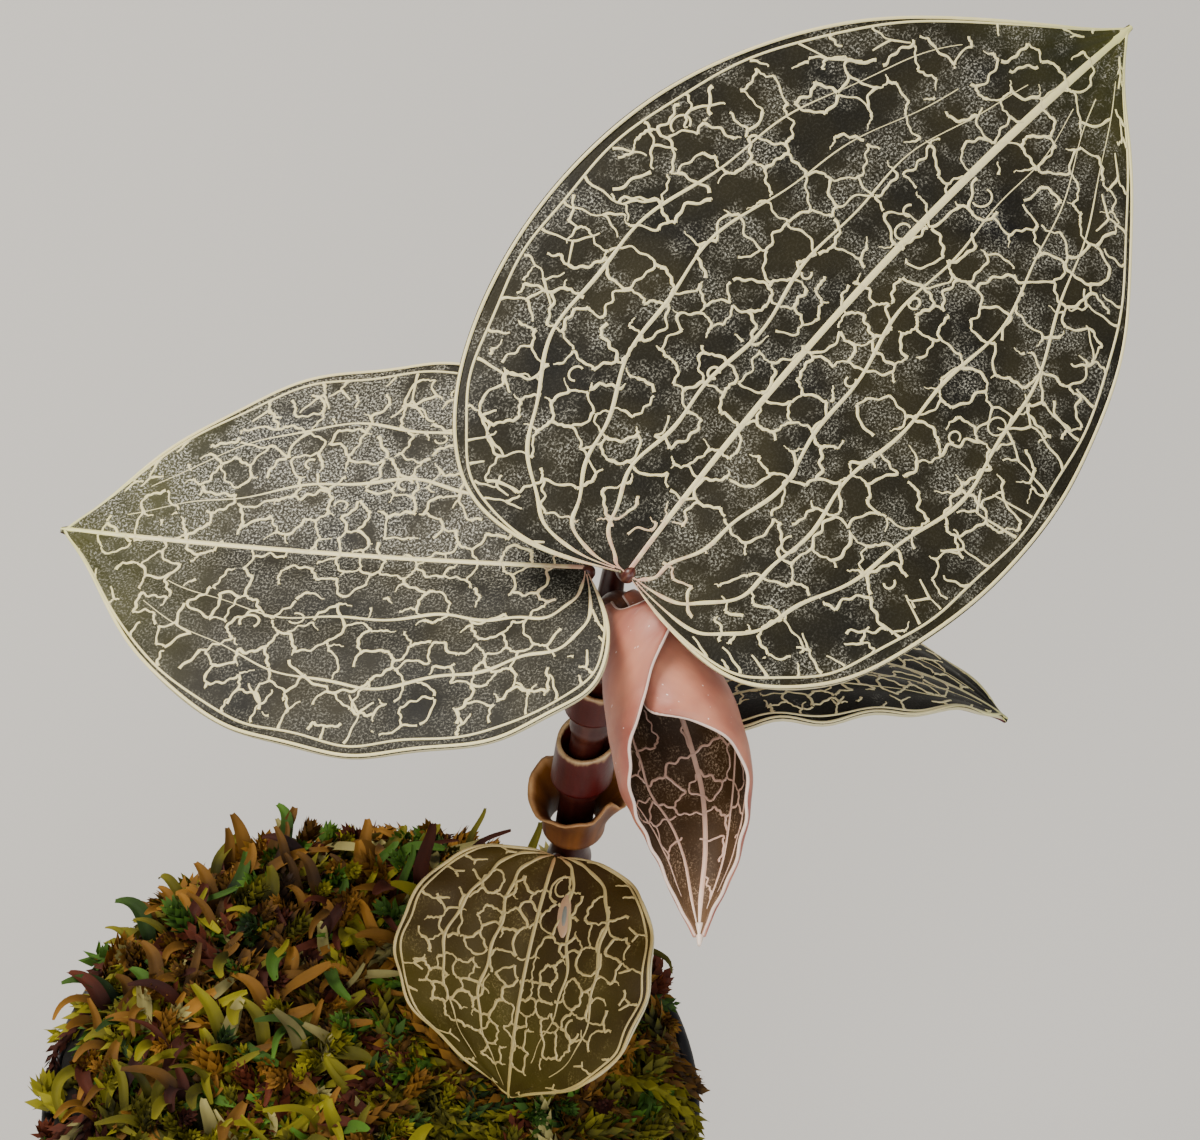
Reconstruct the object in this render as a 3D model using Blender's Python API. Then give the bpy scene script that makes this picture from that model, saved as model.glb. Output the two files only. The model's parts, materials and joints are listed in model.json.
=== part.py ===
"""Jewel orchid in a small round pot: a leafy stem standing in a mound of moss.

Metres, +Z up. The origin is the centre of the pot's underside, and the plant's front is at -Y.
"""
import math
import random

import bmesh
import bpy
from mathutils import Vector
from mathutils.noise import noise

MM = 0.001
CLEARANCE = 0.35 * MM  # gap kept between pieces that touch on the real plant

# Pot: thin moulded plastic with a rolled rim and a foot ring
POT_HEIGHT = 48 * MM
RIM_RADIUS = 28 * MM
FOOT_RADIUS = 20.5 * MM
POT_WALL = 1.2 * MM
RIM_LIP = 1.0 * MM
RIM_DEPTH = 5 * MM
FLOOR_HEIGHT = 1.5 * MM
POT_STEPS = 36
DRAIN_HOLES = 6
DRAIN_RADIUS = 2.4 * MM
DRAIN_CIRCLE = 13 * MM

# Moss mound
MOSS_RADIUS = 27.2 * MM
MOSS_RISE = 9.0 * MM
MOSS_ROUNDNESS = 4.5  # how square the dome's shoulder is
MOSS_RINGS = 9
MOSS_STEPS = 30
MOSS_BUMP = 0.9 * MM
MOSS_DENT = 2.4 * MM  # hollow under the low leaf
STRAND_COUNT = 100
STRAND_ROOT = 1.6 * MM  # how deep a strand starts inside the mound
MOSS_SEED = 7

# Stem: points that its centre line passes through, from its foot in the moss to its top
STEM_POINTS = [Vector(p) * MM for p in (
    (16.0, 9.5, 40.0), (16.0, 9.5, 58.0), (17.0, 10.6, 70.0),
    (18.3, 11.5, 82.0), (19.4, 11.9, 91.0), (20.0, 12.0, 97.6))]
STEM_FOOT_RADIUS = 1.9 * MM
STEM_TOP_RADIUS = 1.25 * MM
STEM_SIDES = 12
NODE_HEIGHTS = (60.0, 69.5, 78.0, 85.5, 92.5)  # leaf scars up the stem, in millimetres above the pot's base
NODE_SWELL = 0.3 * MM
ROOT_COUNT = 3
ROOT_RADIUS = 0.8 * MM
LOW_LEAF_CENTRE = Vector((13.5, -1.5)) * MM  # middle of the low leaf, seen from above
STEM_HOLE_RADIUS = 3.4 * MM
STEM_HOLE_FLOOR = 33.0 * MM

BLADE = 0.62 * MM  # blade thickness
SHEATH_WALL = 0.65 * MM
PETIOLE_RADIUS = 1.15 * MM
BLADE_ROWS = 13
BLADE_COLUMNS = 12

# Open leaves. Angles are in degrees and lengths in millimetres. droop is in radians over the length.
LEAVES = {
    "leaf_top": dict(
        base=(21.6, 9.9, 106.55), heading=53.9, pitch=15.7, roll=14.7, length=64.9, width=47.0,
        droop=0.171, arch=0.145, fold=0.111, twist=26.4, lobe=0.151, full=1.45, tip=5.7, sway=-0.092,
        sheath=(93.9, 96.3), petiole=((20.4, 15.4, 98.4), (20.9, 15.4, 102.0))),
    "leaf_left": dict(
        base=(18.4, 13.1, 103.3), heading=164.9, pitch=-14.5, roll=-6.9, length=45.1, width=37.5,
        droop=-0.085, arch=0.108, fold=0.154, twist=-1.3, lobe=0.287, full=1.55, tip=6.8, sway=-0.016,
        sheath=(88.0, 91.4), petiole=((16.9, 14.2, 93.4), (16.6, 15.4, 98.2))),
    "leaf_right": dict(
        base=(22.8, 15.9, 83.3), heading=20.5, pitch=21.5, roll=-44.2, length=31.6, width=28.1,
        droop=1.147, arch=0.28, fold=0.175, twist=10.6, lobe=0.25, full=1.6, tip=6.0, sway=0.01,
        sheath=(79.4, 84.0), petiole=((19.9, 12.8, 83.0), (21.3, 14.3, 83.9))),
    "leaf_low": dict(
        base=(15.85, 8.0, 72.4), heading=-107.9, pitch=-17.9, roll=7.9, length=21.3, width=23.3,
        droop=1.02, arch=-0.005, fold=0.111, twist=15.8, lobe=0.075, full=1.16, tip=7.6, sway=-0.041,
        sheath=(60.8, 67.0), petiole=((16.0, 7.0, 67.6), (15.8, 6.2, 70.4))),
}
WAVE = 0.35 * MM  # height of the ripple along a leaf's edge
WAVES = 7

# Young leaf: still rolled lengthwise, with its upper face inside
YOUNG_AXIS = [Vector(p) * MM for p in (
    (21.1, 11.8, 101.0), (23.1, 9.0, 99.6), (24.9, 4.7, 97.5), (26.1, 1.1, 95.9),
    (27.0, -2.5, 94.2), (27.3, -5.8, 92.2), (27.1, -9.1, 90.2), (27.1, -11.5, 89.0))]
YOUNG_OPENING = Vector((-0.12, -0.62, 0.78))  # the side that the roll opens towards
# Share of the length, roll radius in millimetres, degrees that the outer and the inner half wrap
YOUNG_SECTIONS = (
    (0.00, 1.3, 160, 155), (0.05, 2.1, 180, 165), (0.10, 3.0, 232, 185), (0.17, 3.6, 206, 204),
    (0.24, 4.3, 178, 205), (0.33, 4.8, 158, 196), (0.39, 4.9, 143, 157), (0.49, 5.0, 130, 109),
    (0.59, 4.4, 111, 92), (0.75, 2.9, 90, 84), (0.89, 1.25, 78, 76), (1.00, 0.35, 66, 62))
YOUNG_SPIRAL = 0.13  # how much wider the outer half rolls than the inner one
YOUNG_COLUMNS = 18
YOUNG_HOOK = 1.9 * MM  # how far the outer edge flares away near the base

# Old sheath: what is left of a leaf that has dropped
OLD_SHEATH = (73.2, 78.0)
OLD_SHEATH_FLARE = 1.9 * MM
OLD_SHEATH_STEPS = 20


def clear_scene():
    """Empties the file that the script is run in."""
    for obj in list(bpy.data.objects):
        bpy.data.objects.remove(obj, do_unlink=True)


def material(name, colour, roughness):
    """A plain Principled material. Colour is linear RGB."""
    made = bpy.data.materials.new(name)
    made.use_nodes = True
    shader = made.node_tree.nodes["Principled BSDF"]
    shader.inputs["Base Color"].default_value = (*colour, 1.0)
    shader.inputs["Roughness"].default_value = roughness
    return made


def mesh_object(name, points, faces, finish, angle=40.0):
    """An object from points and faces, smooth except at sharp edges."""
    mesh = bpy.data.meshes.new(name)
    mesh.from_pydata([tuple(p) for p in points], [], faces)
    mesh.validate()
    work = bmesh.new()
    work.from_mesh(mesh)
    bmesh.ops.recalc_face_normals(work, faces=work.faces)
    work.to_mesh(mesh)
    work.free()
    mesh.shade_smooth()
    mesh.set_sharp_from_angle(angle=math.radians(angle))
    mesh.materials.append(finish)
    obj = bpy.data.objects.new(name, mesh)
    bpy.context.scene.collection.objects.link(obj)
    return obj


def boolean(obj, others, operation, solver="MANIFOLD"):
    """Joins others to obj, or cuts them from it, applies the result and removes them."""
    group = bpy.data.collections.new(obj.name + "_others")
    for other in others:
        group.objects.link(other)
    step = obj.modifiers.new("join", "BOOLEAN")
    step.operand_type = "COLLECTION"
    step.collection = group
    step.operation = operation
    step.solver = solver
    graph = bpy.context.evaluated_depsgraph_get()
    finish = obj.data.materials[0]
    result = bpy.data.meshes.new_from_object(obj.evaluated_get(graph))
    obj.modifiers.clear()
    obj.data = result
    obj.data.materials.clear()
    obj.data.materials.append(finish)
    for other in others:
        bpy.data.objects.remove(other, do_unlink=True)
    bpy.data.collections.remove(group)
    return obj


def keep_largest(obj):
    """Removes the crumbs that a union leaves where a blade is folded tightly."""
    work = bmesh.new()
    work.from_mesh(obj.data)
    left, pieces = set(work.verts), []
    while left:
        edge = [left.pop()]
        piece = list(edge)
        while edge:
            for link in edge.pop().link_edges:
                for vertex in link.verts:
                    if vertex in left:
                        left.remove(vertex)
                        edge.append(vertex)
                        piece.append(vertex)
        pieces.append(piece)
    pieces.sort(key=len)
    for piece in pieces[:-1]:
        bmesh.ops.delete(work, geom=piece, context="VERTS")
    work.to_mesh(obj.data)
    work.free()
    return obj


def smooth_path(points, count):
    """Points evenly placed along a smooth curve through the given ones."""
    ends = [points[0] * 2 - points[1], *points, points[-1] * 2 - points[-2]]
    path = []
    for i in range(count):
        place = i / (count - 1) * (len(points) - 1)
        k = min(int(place), len(points) - 2)
        t = place - k
        a, b, c, d = ends[k:k + 4]
        path.append(0.5 * (2 * b + (c - a) * t + (2 * a - 5 * b + 4 * c - d) * t * t
                           + (3 * b - a - 3 * c + d) * t ** 3))
    return path


def frames_along(path, start_side):
    """Tangent, side and normal at each point, carried along with no twist."""
    frames = []
    side = start_side
    for i, _ in enumerate(path):
        tangent = (path[min(i + 1, len(path) - 1)] - path[max(i - 1, 0)]).normalized()
        side = (side - tangent * side.dot(tangent)).normalized()
        frames.append((tangent, side, tangent.cross(side)))
    return frames


def tube(name, path, radii, sides, finish, start_side=Vector((1, 0, 0))):
    """A closed tube of changing radius with rounded-off flat ends."""
    points = []
    for p, radius, (_, side, normal) in zip(path, radii, frames_along(path, start_side)):
        for k in range(sides):
            turn = 2 * math.pi * k / sides
            points.append(p + (side * math.cos(turn) + normal * math.sin(turn)) * radius)
    faces = [tuple(range(sides - 1, -1, -1))]
    for i in range(len(path) - 1):
        for k in range(sides):
            a, b = i * sides + k, i * sides + (k + 1) % sides
            faces.append((a, b, b + sides, a + sides))
    last = (len(path) - 1) * sides
    faces.append(tuple(range(last, last + sides)))
    return mesh_object(name, points, faces, finish)


def turned(name, profile, steps, finish, flat_start=False):
    """A solid turned from a profile of (radius, height). flat_start closes its first ring with one face."""
    points, rings = [], []
    for radius, height in profile:
        if radius < 1e-7:
            rings.append([len(points)])
            points.append(Vector((0, 0, height)))
        else:
            rings.append(list(range(len(points), len(points) + steps)))
            for k in range(steps):
                turn = 2 * math.pi * k / steps
                points.append(Vector((radius * math.cos(turn), radius * math.sin(turn), height)))
    faces = [tuple(reversed(rings[0]))] if flat_start else []
    for low, high in zip(rings, rings[1:]):
        for k in range(steps):
            j = (k + 1) % steps
            if len(low) == 1:
                faces.append((low[0], high[k], high[j]))
            elif len(high) == 1:
                faces.append((low[k], low[j], high[0]))
            else:
                faces.append((low[k], low[j], high[j], high[k]))
    return mesh_object(name, points, faces, finish)


def stem_at(height):
    """Centre, radius and direction of the stem at a height in millimetres."""
    path = smooth_path(STEM_POINTS, 60)
    low, high = path[0].z, path[-1].z
    for a, b in zip(path, path[1:]):
        if a.z <= height * MM <= b.z:
            centre = a.lerp(b, (height * MM - a.z) / (b.z - a.z))
            share = (centre.z - low) / (high - low)
            radius = STEM_FOOT_RADIUS + (STEM_TOP_RADIUS - STEM_FOOT_RADIUS) * share
            return centre, radius, (b - a).normalized()
    end = (path[-1] - path[-2]).normalized()
    return path[-1] + end * (height * MM - high), STEM_TOP_RADIUS, end


def make_pot(finish):
    """The pot: outside, rolled rim, inside and floor as one turned wall, with drain holes."""
    slope = (RIM_RADIUS - FOOT_RADIUS) / POT_HEIGHT
    under_rim = RIM_RADIUS - slope * RIM_DEPTH - RIM_LIP
    inside_top = RIM_RADIUS - POT_WALL
    inside_low = FOOT_RADIUS - POT_WALL
    profile = [
        (FOOT_RADIUS - 0.5 * MM, 0),
        (FOOT_RADIUS, 0.5 * MM), (under_rim, POT_HEIGHT - RIM_DEPTH),
        (under_rim + RIM_LIP, POT_HEIGHT - RIM_DEPTH + 0.4 * MM), (RIM_RADIUS, POT_HEIGHT - 0.5 * MM),
        (RIM_RADIUS - 0.4 * MM, POT_HEIGHT), (inside_top, POT_HEIGHT),
        (inside_top - 0.5 * MM, POT_HEIGHT - RIM_DEPTH),
        (under_rim - POT_WALL, POT_HEIGHT - RIM_DEPTH - 0.8 * MM), (inside_low, FLOOR_HEIGHT),
        (0, FLOOR_HEIGHT)]
    pot = turned("pot", profile, POT_STEPS, finish, flat_start=True)
    cutters = []
    for i in range(DRAIN_HOLES):
        turn = 2 * math.pi * i / DRAIN_HOLES + 0.21
        centre = Vector((DRAIN_CIRCLE * math.cos(turn), DRAIN_CIRCLE * math.sin(turn), 0))
        ends = [centre + Vector((0, 0, -2 * MM)), centre + Vector((0, 0, FLOOR_HEIGHT + 2 * MM))]
        cutters.append(tube("drain", ends, [DRAIN_RADIUS] * 2, 16, finish))
    return boolean(pot, cutters, "DIFFERENCE")


def pot_inside(height):
    """Inner radius of the pot at a height."""
    slope = (RIM_RADIUS - FOOT_RADIUS) / POT_HEIGHT
    return FOOT_RADIUS - POT_WALL + slope * (height - FLOOR_HEIGHT) * 0.86


def moss_height(x, y):
    """Height of the mound's surface, with its lumps, at a place."""
    share = min(1.0, math.hypot(x, y) / MOSS_RADIUS)
    dome = MOSS_RISE * (1 - share ** MOSS_ROUNDNESS)
    lumps = MOSS_BUMP * noise(Vector((x, y, 0)) / (6 * MM)) * (1 - share ** 6)
    away = (Vector((x, y)) - LOW_LEAF_CENTRE).length / (10 * MM)
    return POT_HEIGHT + 0.8 * MM + dome + lumps - MOSS_DENT * math.exp(-away ** 4)


def near_leaf_low(x, y, spare):
    """Whether a place on the mound lies under the low leaf or close round it."""
    leaf = LEAVES["leaf_low"]
    radius = leaf["width"] / 2 * MM + spare
    return (Vector((x, y)) - LOW_LEAF_CENTRE).length < radius


def strand(root, lean, length, width, bend):
    """One branch of moss: a tapering three-sided shoot that starts inside the mound."""
    rise = Vector((lean.x * 0.55, lean.y * 0.55, 1)).normalized()
    over = Vector((lean.x, lean.y, 0.15)).normalized()
    low = root - rise * STRAND_ROOT
    end = root + rise * length * 0.6 + over * length * bend
    path = smooth_path([low, root + rise * length * 0.45, end], 4)
    radii = [width * 0.8, width, width * 0.75, width * 0.16]
    return tube("strand", path, radii, 3, bpy.data.materials["moss"], Vector((0.3, 0.8, 0.1)))


def make_moss(finish):
    """The mound as one body: a lumpy dome that fills the pot, with its branches raised from it."""
    floor = FLOOR_HEIGHT + CLEARANCE
    profile = [(0, floor), (pot_inside(floor) - CLEARANCE - 0.4 * MM, floor)]
    for share in (0.33, 0.66, 0.86):
        height = floor + (POT_HEIGHT - floor) * share
        profile.append((pot_inside(height) - CLEARANCE - 0.5 * MM, height))
    profile.append((RIM_RADIUS - POT_WALL - 0.9 * MM, POT_HEIGHT - 1.0 * MM))
    profile.append((RIM_RADIUS - POT_WALL - 0.7 * MM, POT_HEIGHT + 0.3 * MM))
    points_to_lift = len(profile)
    for i in range(MOSS_RINGS):
        share = 1 - i / MOSS_RINGS
        profile.append((MOSS_RADIUS * share, POT_HEIGHT + 0.8 * MM))
    profile.append((0, POT_HEIGHT + 0.8 * MM))
    moss = turned("moss", profile, MOSS_STEPS, finish)
    for vertex in moss.data.vertices:
        if vertex.co.z > POT_HEIGHT + 0.6 * MM:
            vertex.co.z = moss_height(vertex.co.x, vertex.co.y)
    draw = random.Random(MOSS_SEED)
    stem_foot = STEM_POINTS[1]
    strands = []
    while len(strands) < STRAND_COUNT:
        turn = draw.uniform(0, 2 * math.pi)
        away = MOSS_RADIUS * 0.95 * math.sqrt(draw.random())
        x, y = away * math.cos(turn), away * math.sin(turn)
        lean_turn = turn + draw.uniform(-1.5, 1.5)
        length = draw.uniform(2.6, 5.0) * MM
        width = draw.uniform(0.6, 1.0) * MM
        bend = draw.uniform(0.3, 0.9)
        if math.hypot(x - stem_foot.x, y - stem_foot.y) < STEM_HOLE_RADIUS + 3.2 * MM:
            continue
        if near_leaf_low(x, y, 2.4 * MM):
            continue
        if away > MOSS_RADIUS * 0.86:
            length = min(length, 3.4 * MM)
        root = Vector((x, y, moss_height(x, y) - 0.25 * MM))
        lean = Vector((math.cos(lean_turn), math.sin(lean_turn), 0))
        strands.append(strand(root, lean, length, width, bend))
    boolean(moss, strands, "UNION")
    hole_path = [Vector((stem_foot.x, stem_foot.y, z)) for z in (STEM_HOLE_FLOOR, 70 * MM)]
    hole = tube("hole", hole_path, [STEM_HOLE_RADIUS] * 2, 16, finish)
    return boolean(moss, [hole], "DIFFERENCE")


def make_stem(finish):
    """The stem with its leaf scars, and the roots at its foot."""
    path = smooth_path(STEM_POINTS, 34)
    radii = []
    for p in path:
        share = (p.z - path[0].z) / (path[-1].z - path[0].z)
        radius = STEM_FOOT_RADIUS + (STEM_TOP_RADIUS - STEM_FOOT_RADIUS) * share
        for height in NODE_HEIGHTS:
            radius += NODE_SWELL * math.exp(-((p.z / MM - height) / 0.9) ** 2)
        radii.append(radius)
    stem = tube("stem", path, radii, STEM_SIDES, finish)
    roots = []
    foot = STEM_POINTS[0]
    for i in range(ROOT_COUNT):
        turn = 2 * math.pi * i / ROOT_COUNT + 0.4
        out = Vector((math.cos(turn), math.sin(turn), 0))
        route = [foot + Vector((0, 0, 2.5 * MM)), foot + out * 1.3 * MM - Vector((0, 0, 1.0 * MM)),
                 foot + out * 1.6 * MM - Vector((0, 0, 6.6 * MM))]
        radii = [ROOT_RADIUS] * 4 + [ROOT_RADIUS * 0.6]
        roots.append(tube("root", smooth_path(route, 5), radii, 6, finish))
    return boolean(stem, roots, "UNION")


def leaf_axes(leaf):
    """Unit vectors along a leaf, across it to its left, and up from its upper face."""
    heading, pitch, roll = (math.radians(leaf[key]) for key in ("heading", "pitch", "roll"))
    level_way = Vector((math.cos(heading), math.sin(heading), 0))
    along = level_way * math.cos(pitch) + Vector((0, 0, math.sin(pitch)))
    level = Vector((-math.sin(heading), math.cos(heading), 0))
    across = level * math.cos(roll) + along.cross(level) * math.sin(roll)
    return along, across, along.cross(across)


def outline(leaf, turn):
    """Half of a heart-shaped outline, in shares of the length and half width. turn runs from 0 to pi."""
    along = ((1 - math.cos(turn)) / 2) ** leaf["full"]
    if turn < math.pi / 2:
        along -= leaf["lobe"] * math.sin(turn) * math.cos(turn) ** 2
    across = math.sin(turn) * (1 - min(1.0, max(0.0, along)) ** leaf["tip"])
    return along, across


def leaf_point(leaf, turn, share):
    """A point of the leaf's middle surface. share runs from -1 at its right edge to 1 at its left."""
    length, half = leaf["length"] * MM, leaf["width"] / 2 * MM
    middle = ((1 - math.cos(turn)) / 2) ** leaf["full"]
    edge, across = outline(leaf, turn)
    a = (middle + (edge - middle) * share * share) * length
    w = share * across * half
    along, side, up = leaf_axes(leaf)
    curl = leaf["droop"] / length
    soft = 0.08 * half
    lift = leaf["fold"] * (math.hypot(w, soft) - soft) - leaf["arch"] * half * (w / half) ** 2
    lift += WAVE * share ** 4 * math.sin(turn) * math.sin(2 * WAVES * turn + 2 * share)
    twist = math.radians(leaf["twist"]) * a / length
    y = w * math.cos(twist) - lift * math.sin(twist) + leaf["sway"] * length * (a / length) ** 2
    z = w * math.sin(twist) + lift * math.cos(twist)
    x = math.sin(curl * a) / curl + z * math.sin(curl * a)
    rise = -(1 - math.cos(curl * a)) / curl + z * math.cos(curl * a)
    return Vector(leaf["base"]) * MM + along * x + side * y + up * rise


def thick_sheet(name, grid, finish):
    """A closed blade from a grid of rows of points, with its first and last rows drawn to a point."""
    rows, columns = len(grid), len(grid[0])

    def normal(i, j):
        up = grid[min(i + 1, rows - 1)][j] - grid[max(i - 1, 0)][j]
        over = grid[i][min(j + 1, columns - 1)] - grid[i][max(j - 1, 0)]
        return up.cross(over).normalized()

    points = []
    for offset in (BLADE / 2, -BLADE / 2):
        for i in range(rows):
            for j in range(columns):
                k, m = min(max(i, 1), rows - 2), min(max(j, 1), columns - 2)
                points.append(grid[i][j] + normal(k, j if 0 < i < rows - 1 else m) * offset)
    work = bmesh.new()
    made = [work.verts.new(p) for p in points]
    under = rows * columns
    for i in range(rows - 1):
        for j in range(columns - 1):
            a, b = i * columns + j, i * columns + j + 1
            c, d = b + columns, a + columns
            for corners in ((a, b, c), (a, c, d)):
                work.faces.new([made[v] for v in corners])
                work.faces.new([made[v + under] for v in reversed(corners)])
    border = [(i, 0) for i in range(rows)] + [(rows - 1, j) for j in range(1, columns)]
    border += [(i, columns - 1) for i in range(rows - 2, -1, -1)]
    border += [(0, j) for j in range(columns - 2, 0, -1)]
    ring = [i * columns + j for i, j in border]
    for a, b in zip(ring, ring[1:] + ring[:1]):
        work.faces.new([made[v] for v in (a, b, b + under)])
        work.faces.new([made[v] for v in (a, b + under, a + under)])
    bmesh.ops.recalc_face_normals(work, faces=work.faces)
    mesh = bpy.data.meshes.new(name)
    work.to_mesh(mesh)
    work.free()
    mesh.shade_smooth()
    mesh.set_sharp_from_angle(angle=math.radians(60))
    mesh.materials.append(finish)
    obj = bpy.data.objects.new(name, mesh)
    bpy.context.scene.collection.objects.link(obj)
    return obj


def blade(name, leaf, finish):
    """The open blade of one leaf. Its two end rows are short edges, not points."""
    grid = []
    for i in range(BLADE_ROWS + 1):
        turn = 0.12 + (math.pi - 0.22) * i / BLADE_ROWS
        grid.append([leaf_point(leaf, turn, 2 * j / BLADE_COLUMNS - 1) for j in range(BLADE_COLUMNS + 1)])
    return thick_sheet(name, grid, finish)


def sheath_tube(name, low, high, flare, finish):
    """A solid sleeve round the stem, to be bored out afterwards."""
    path, radii = [], []
    for i in range(6):
        share = i / 5
        centre, radius, _ = stem_at(low + (high - low) * share)
        path.append(centre)
        radii.append(radius + CLEARANCE + SHEATH_WALL + flare * share ** 3)
    return tube(name, path, radii, 14, finish)


def stem_bore(low, high, flare, finish):
    """What is cut from a sleeve so that the stem passes through it with a small gap."""
    path, radii = [], []
    for i in range(5):
        share = i / 4
        centre, radius, _ = stem_at(low - 1 + (high - low + 2) * share)
        path.append(centre)
        radii.append(radius + NODE_SWELL + CLEARANCE + flare * share ** 3)
    return tube("bore", path, radii, 14, finish)


def make_leaf(name, leaf, finish):
    """An open leaf as one body: blade, stalk and the sheath that holds it to the stem."""
    low, high = leaf["sheath"]
    body = blade(name, leaf, finish)
    end = leaf_point(leaf, 0.34, 0)
    start, _, _ = stem_at(high - 2.2)
    first = Vector(leaf["petiole"][0]) * MM
    start = start + (first - start) * 0.45
    route = [start, *[Vector(p) * MM for p in leaf["petiole"]], Vector(leaf["base"]) * MM, end]
    stalk_path = smooth_path(route, 11)
    radii = [PETIOLE_RADIUS * (1.0 - 0.05 * i) for i in range(10)] + [0.45 * MM]
    stalk = tube("stalk", stalk_path, radii, 7, finish)
    sleeve = sheath_tube("sleeve", low, high, 0.25 * MM, finish)
    boolean(body, [stalk, sleeve], "UNION")
    return keep_largest(boolean(body, [stem_bore(low, high + 1.2, 0, finish)], "DIFFERENCE"))


def young_value(column, share):
    """A size of the rolled leaf between its stated sections, eased from one to the next."""
    last = len(YOUNG_SECTIONS) - 1
    for k in range(last):
        low, high = YOUNG_SECTIONS[k], YOUNG_SECTIONS[k + 1]
        if share > high[0] and k + 1 < last:
            continue
        before, after = YOUNG_SECTIONS[max(k - 1, 0)], YOUNG_SECTIONS[min(k + 2, last)]
        span = high[0] - low[0]
        t = min((share - low[0]) / span, 1)
        leaving = span * (high[column] - before[column]) / (high[0] - before[0])
        arriving = span * (after[column] - low[column]) / (after[0] - low[0])
        start = low[column] * (1 + 2 * t) * (1 - t) ** 2 + leaving * t * (1 - t) ** 2
        return start + high[column] * t * t * (3 - 2 * t) - arriving * t * t * (1 - t)


def young_grid(rows, columns):
    """Rows of points across the rolled leaf, from its inner edge to its outer one."""
    axis = smooth_path(YOUNG_AXIS, rows)
    grid = []
    for i, centre in enumerate(axis):
        share = i / (rows - 1)
        tangent = (axis[min(i + 1, rows - 1)] - axis[max(i - 1, 0)]).normalized()
        front = (YOUNG_OPENING - tangent * YOUNG_OPENING.dot(tangent)).normalized()
        left = tangent.cross(front)
        radius = young_value(1, share) * MM
        row = []
        for j in range(columns):
            across = 2 * j / (columns - 1) - 1
            reach = young_value(2 if across > 0 else 3, share)
            turn = math.radians(reach) * across
            grow = 1 + YOUNG_SPIRAL * across
            flare = YOUNG_HOOK * max(0.0, across) ** 5 * math.exp(-((share - 0.13) / 0.075) ** 2)
            out = -front * math.cos(turn) + left * math.sin(turn)
            row.append(centre + out * (radius * grow + flare))
        grid.append(row)
    return grid


def make_young_leaf(finish):
    """The rolled young leaf and the short stalk that it grows from."""
    body = thick_sheet("leaf_young", young_grid(19, YOUNG_COLUMNS), finish)
    top = STEM_POINTS[-1]
    route = [top + Vector((0, 0, CLEARANCE + 0.35 * MM)), top.lerp(YOUNG_AXIS[0], 0.7),
             YOUNG_AXIS[0].lerp(YOUNG_AXIS[1], 0.35)]
    radii = [size * MM for size in (1.2, 1.3, 1.4, 1.5, 1.5, 1.3)]
    stalk = tube("stalk", smooth_path(route, 6), radii, 10, finish)
    return keep_largest(boolean(body, [stalk], "UNION"))


def make_old_sheath(finish):
    """A dry sleeve with a flared mouth, torn to a point on its front."""
    low, high = OLD_SHEATH
    rings = []
    levels = 6
    for wall in (0, 1):
        for i in range(levels):
            share = i / (levels - 1)
            ring = []
            for k in range(OLD_SHEATH_STEPS):
                turn = 2 * math.pi * k / OLD_SHEATH_STEPS
                out = Vector((math.cos(turn), math.sin(turn), 0))
                tear = 1.5 * math.exp(-((math.cos(turn - 5.0) - 1) / 0.16) ** 2) + 0.5 * math.sin(3 * turn)
                height = low + (high - low + tear * share ** 2) * share
                centre, radius, _ = stem_at(min(height, high))
                inner = radius + CLEARANCE + NODE_SWELL + OLD_SHEATH_FLARE * share ** 2.2
                ring.append(Vector((centre.x, centre.y, height * MM)) + out * (inner + wall * SHEATH_WALL))
            rings.append(ring)
    points = [p for ring in rings for p in ring]
    steps = OLD_SHEATH_STEPS
    order = list(range(levels)) + list(range(2 * levels - 1, levels - 1, -1))
    faces = []
    for low_ring, high_ring in zip(order, order[1:] + order[:1]):
        for k in range(steps):
            j = (k + 1) % steps
            faces.append((low_ring * steps + k, low_ring * steps + j, high_ring * steps + j))
            faces.append((low_ring * steps + k, high_ring * steps + j, high_ring * steps + k))
    return mesh_object("old_sheath", points, faces, finish)


def main():
    clear_scene()
    make_pot(material("pot", (0.012, 0.012, 0.013), 0.42))
    make_moss(material("moss", (0.16, 0.15, 0.02), 0.85))
    make_stem(material("stem", (0.11, 0.022, 0.012), 0.4))
    leaf_finish = material("leaf", (0.022, 0.02, 0.008), 0.38)
    for name, leaf in LEAVES.items():
        make_leaf(name, leaf, leaf_finish)
    make_young_leaf(material("young_leaf", (0.55, 0.26, 0.18), 0.5))
    make_old_sheath(material("old_sheath", (0.36, 0.16, 0.04), 0.55))


main()
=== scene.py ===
"""Jewel orchid in a small pot of moss, dressed for its picture.

Every size is in millimetres until a mesh is made, in the CAD model's own frame.
"""
import json
import logging
import math
import random
from dataclasses import dataclass, field
from enum import Enum

import bmesh
import bpy
import numpy as np
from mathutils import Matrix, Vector
from mathutils.geometry import delaunay_2d_cdt

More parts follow.
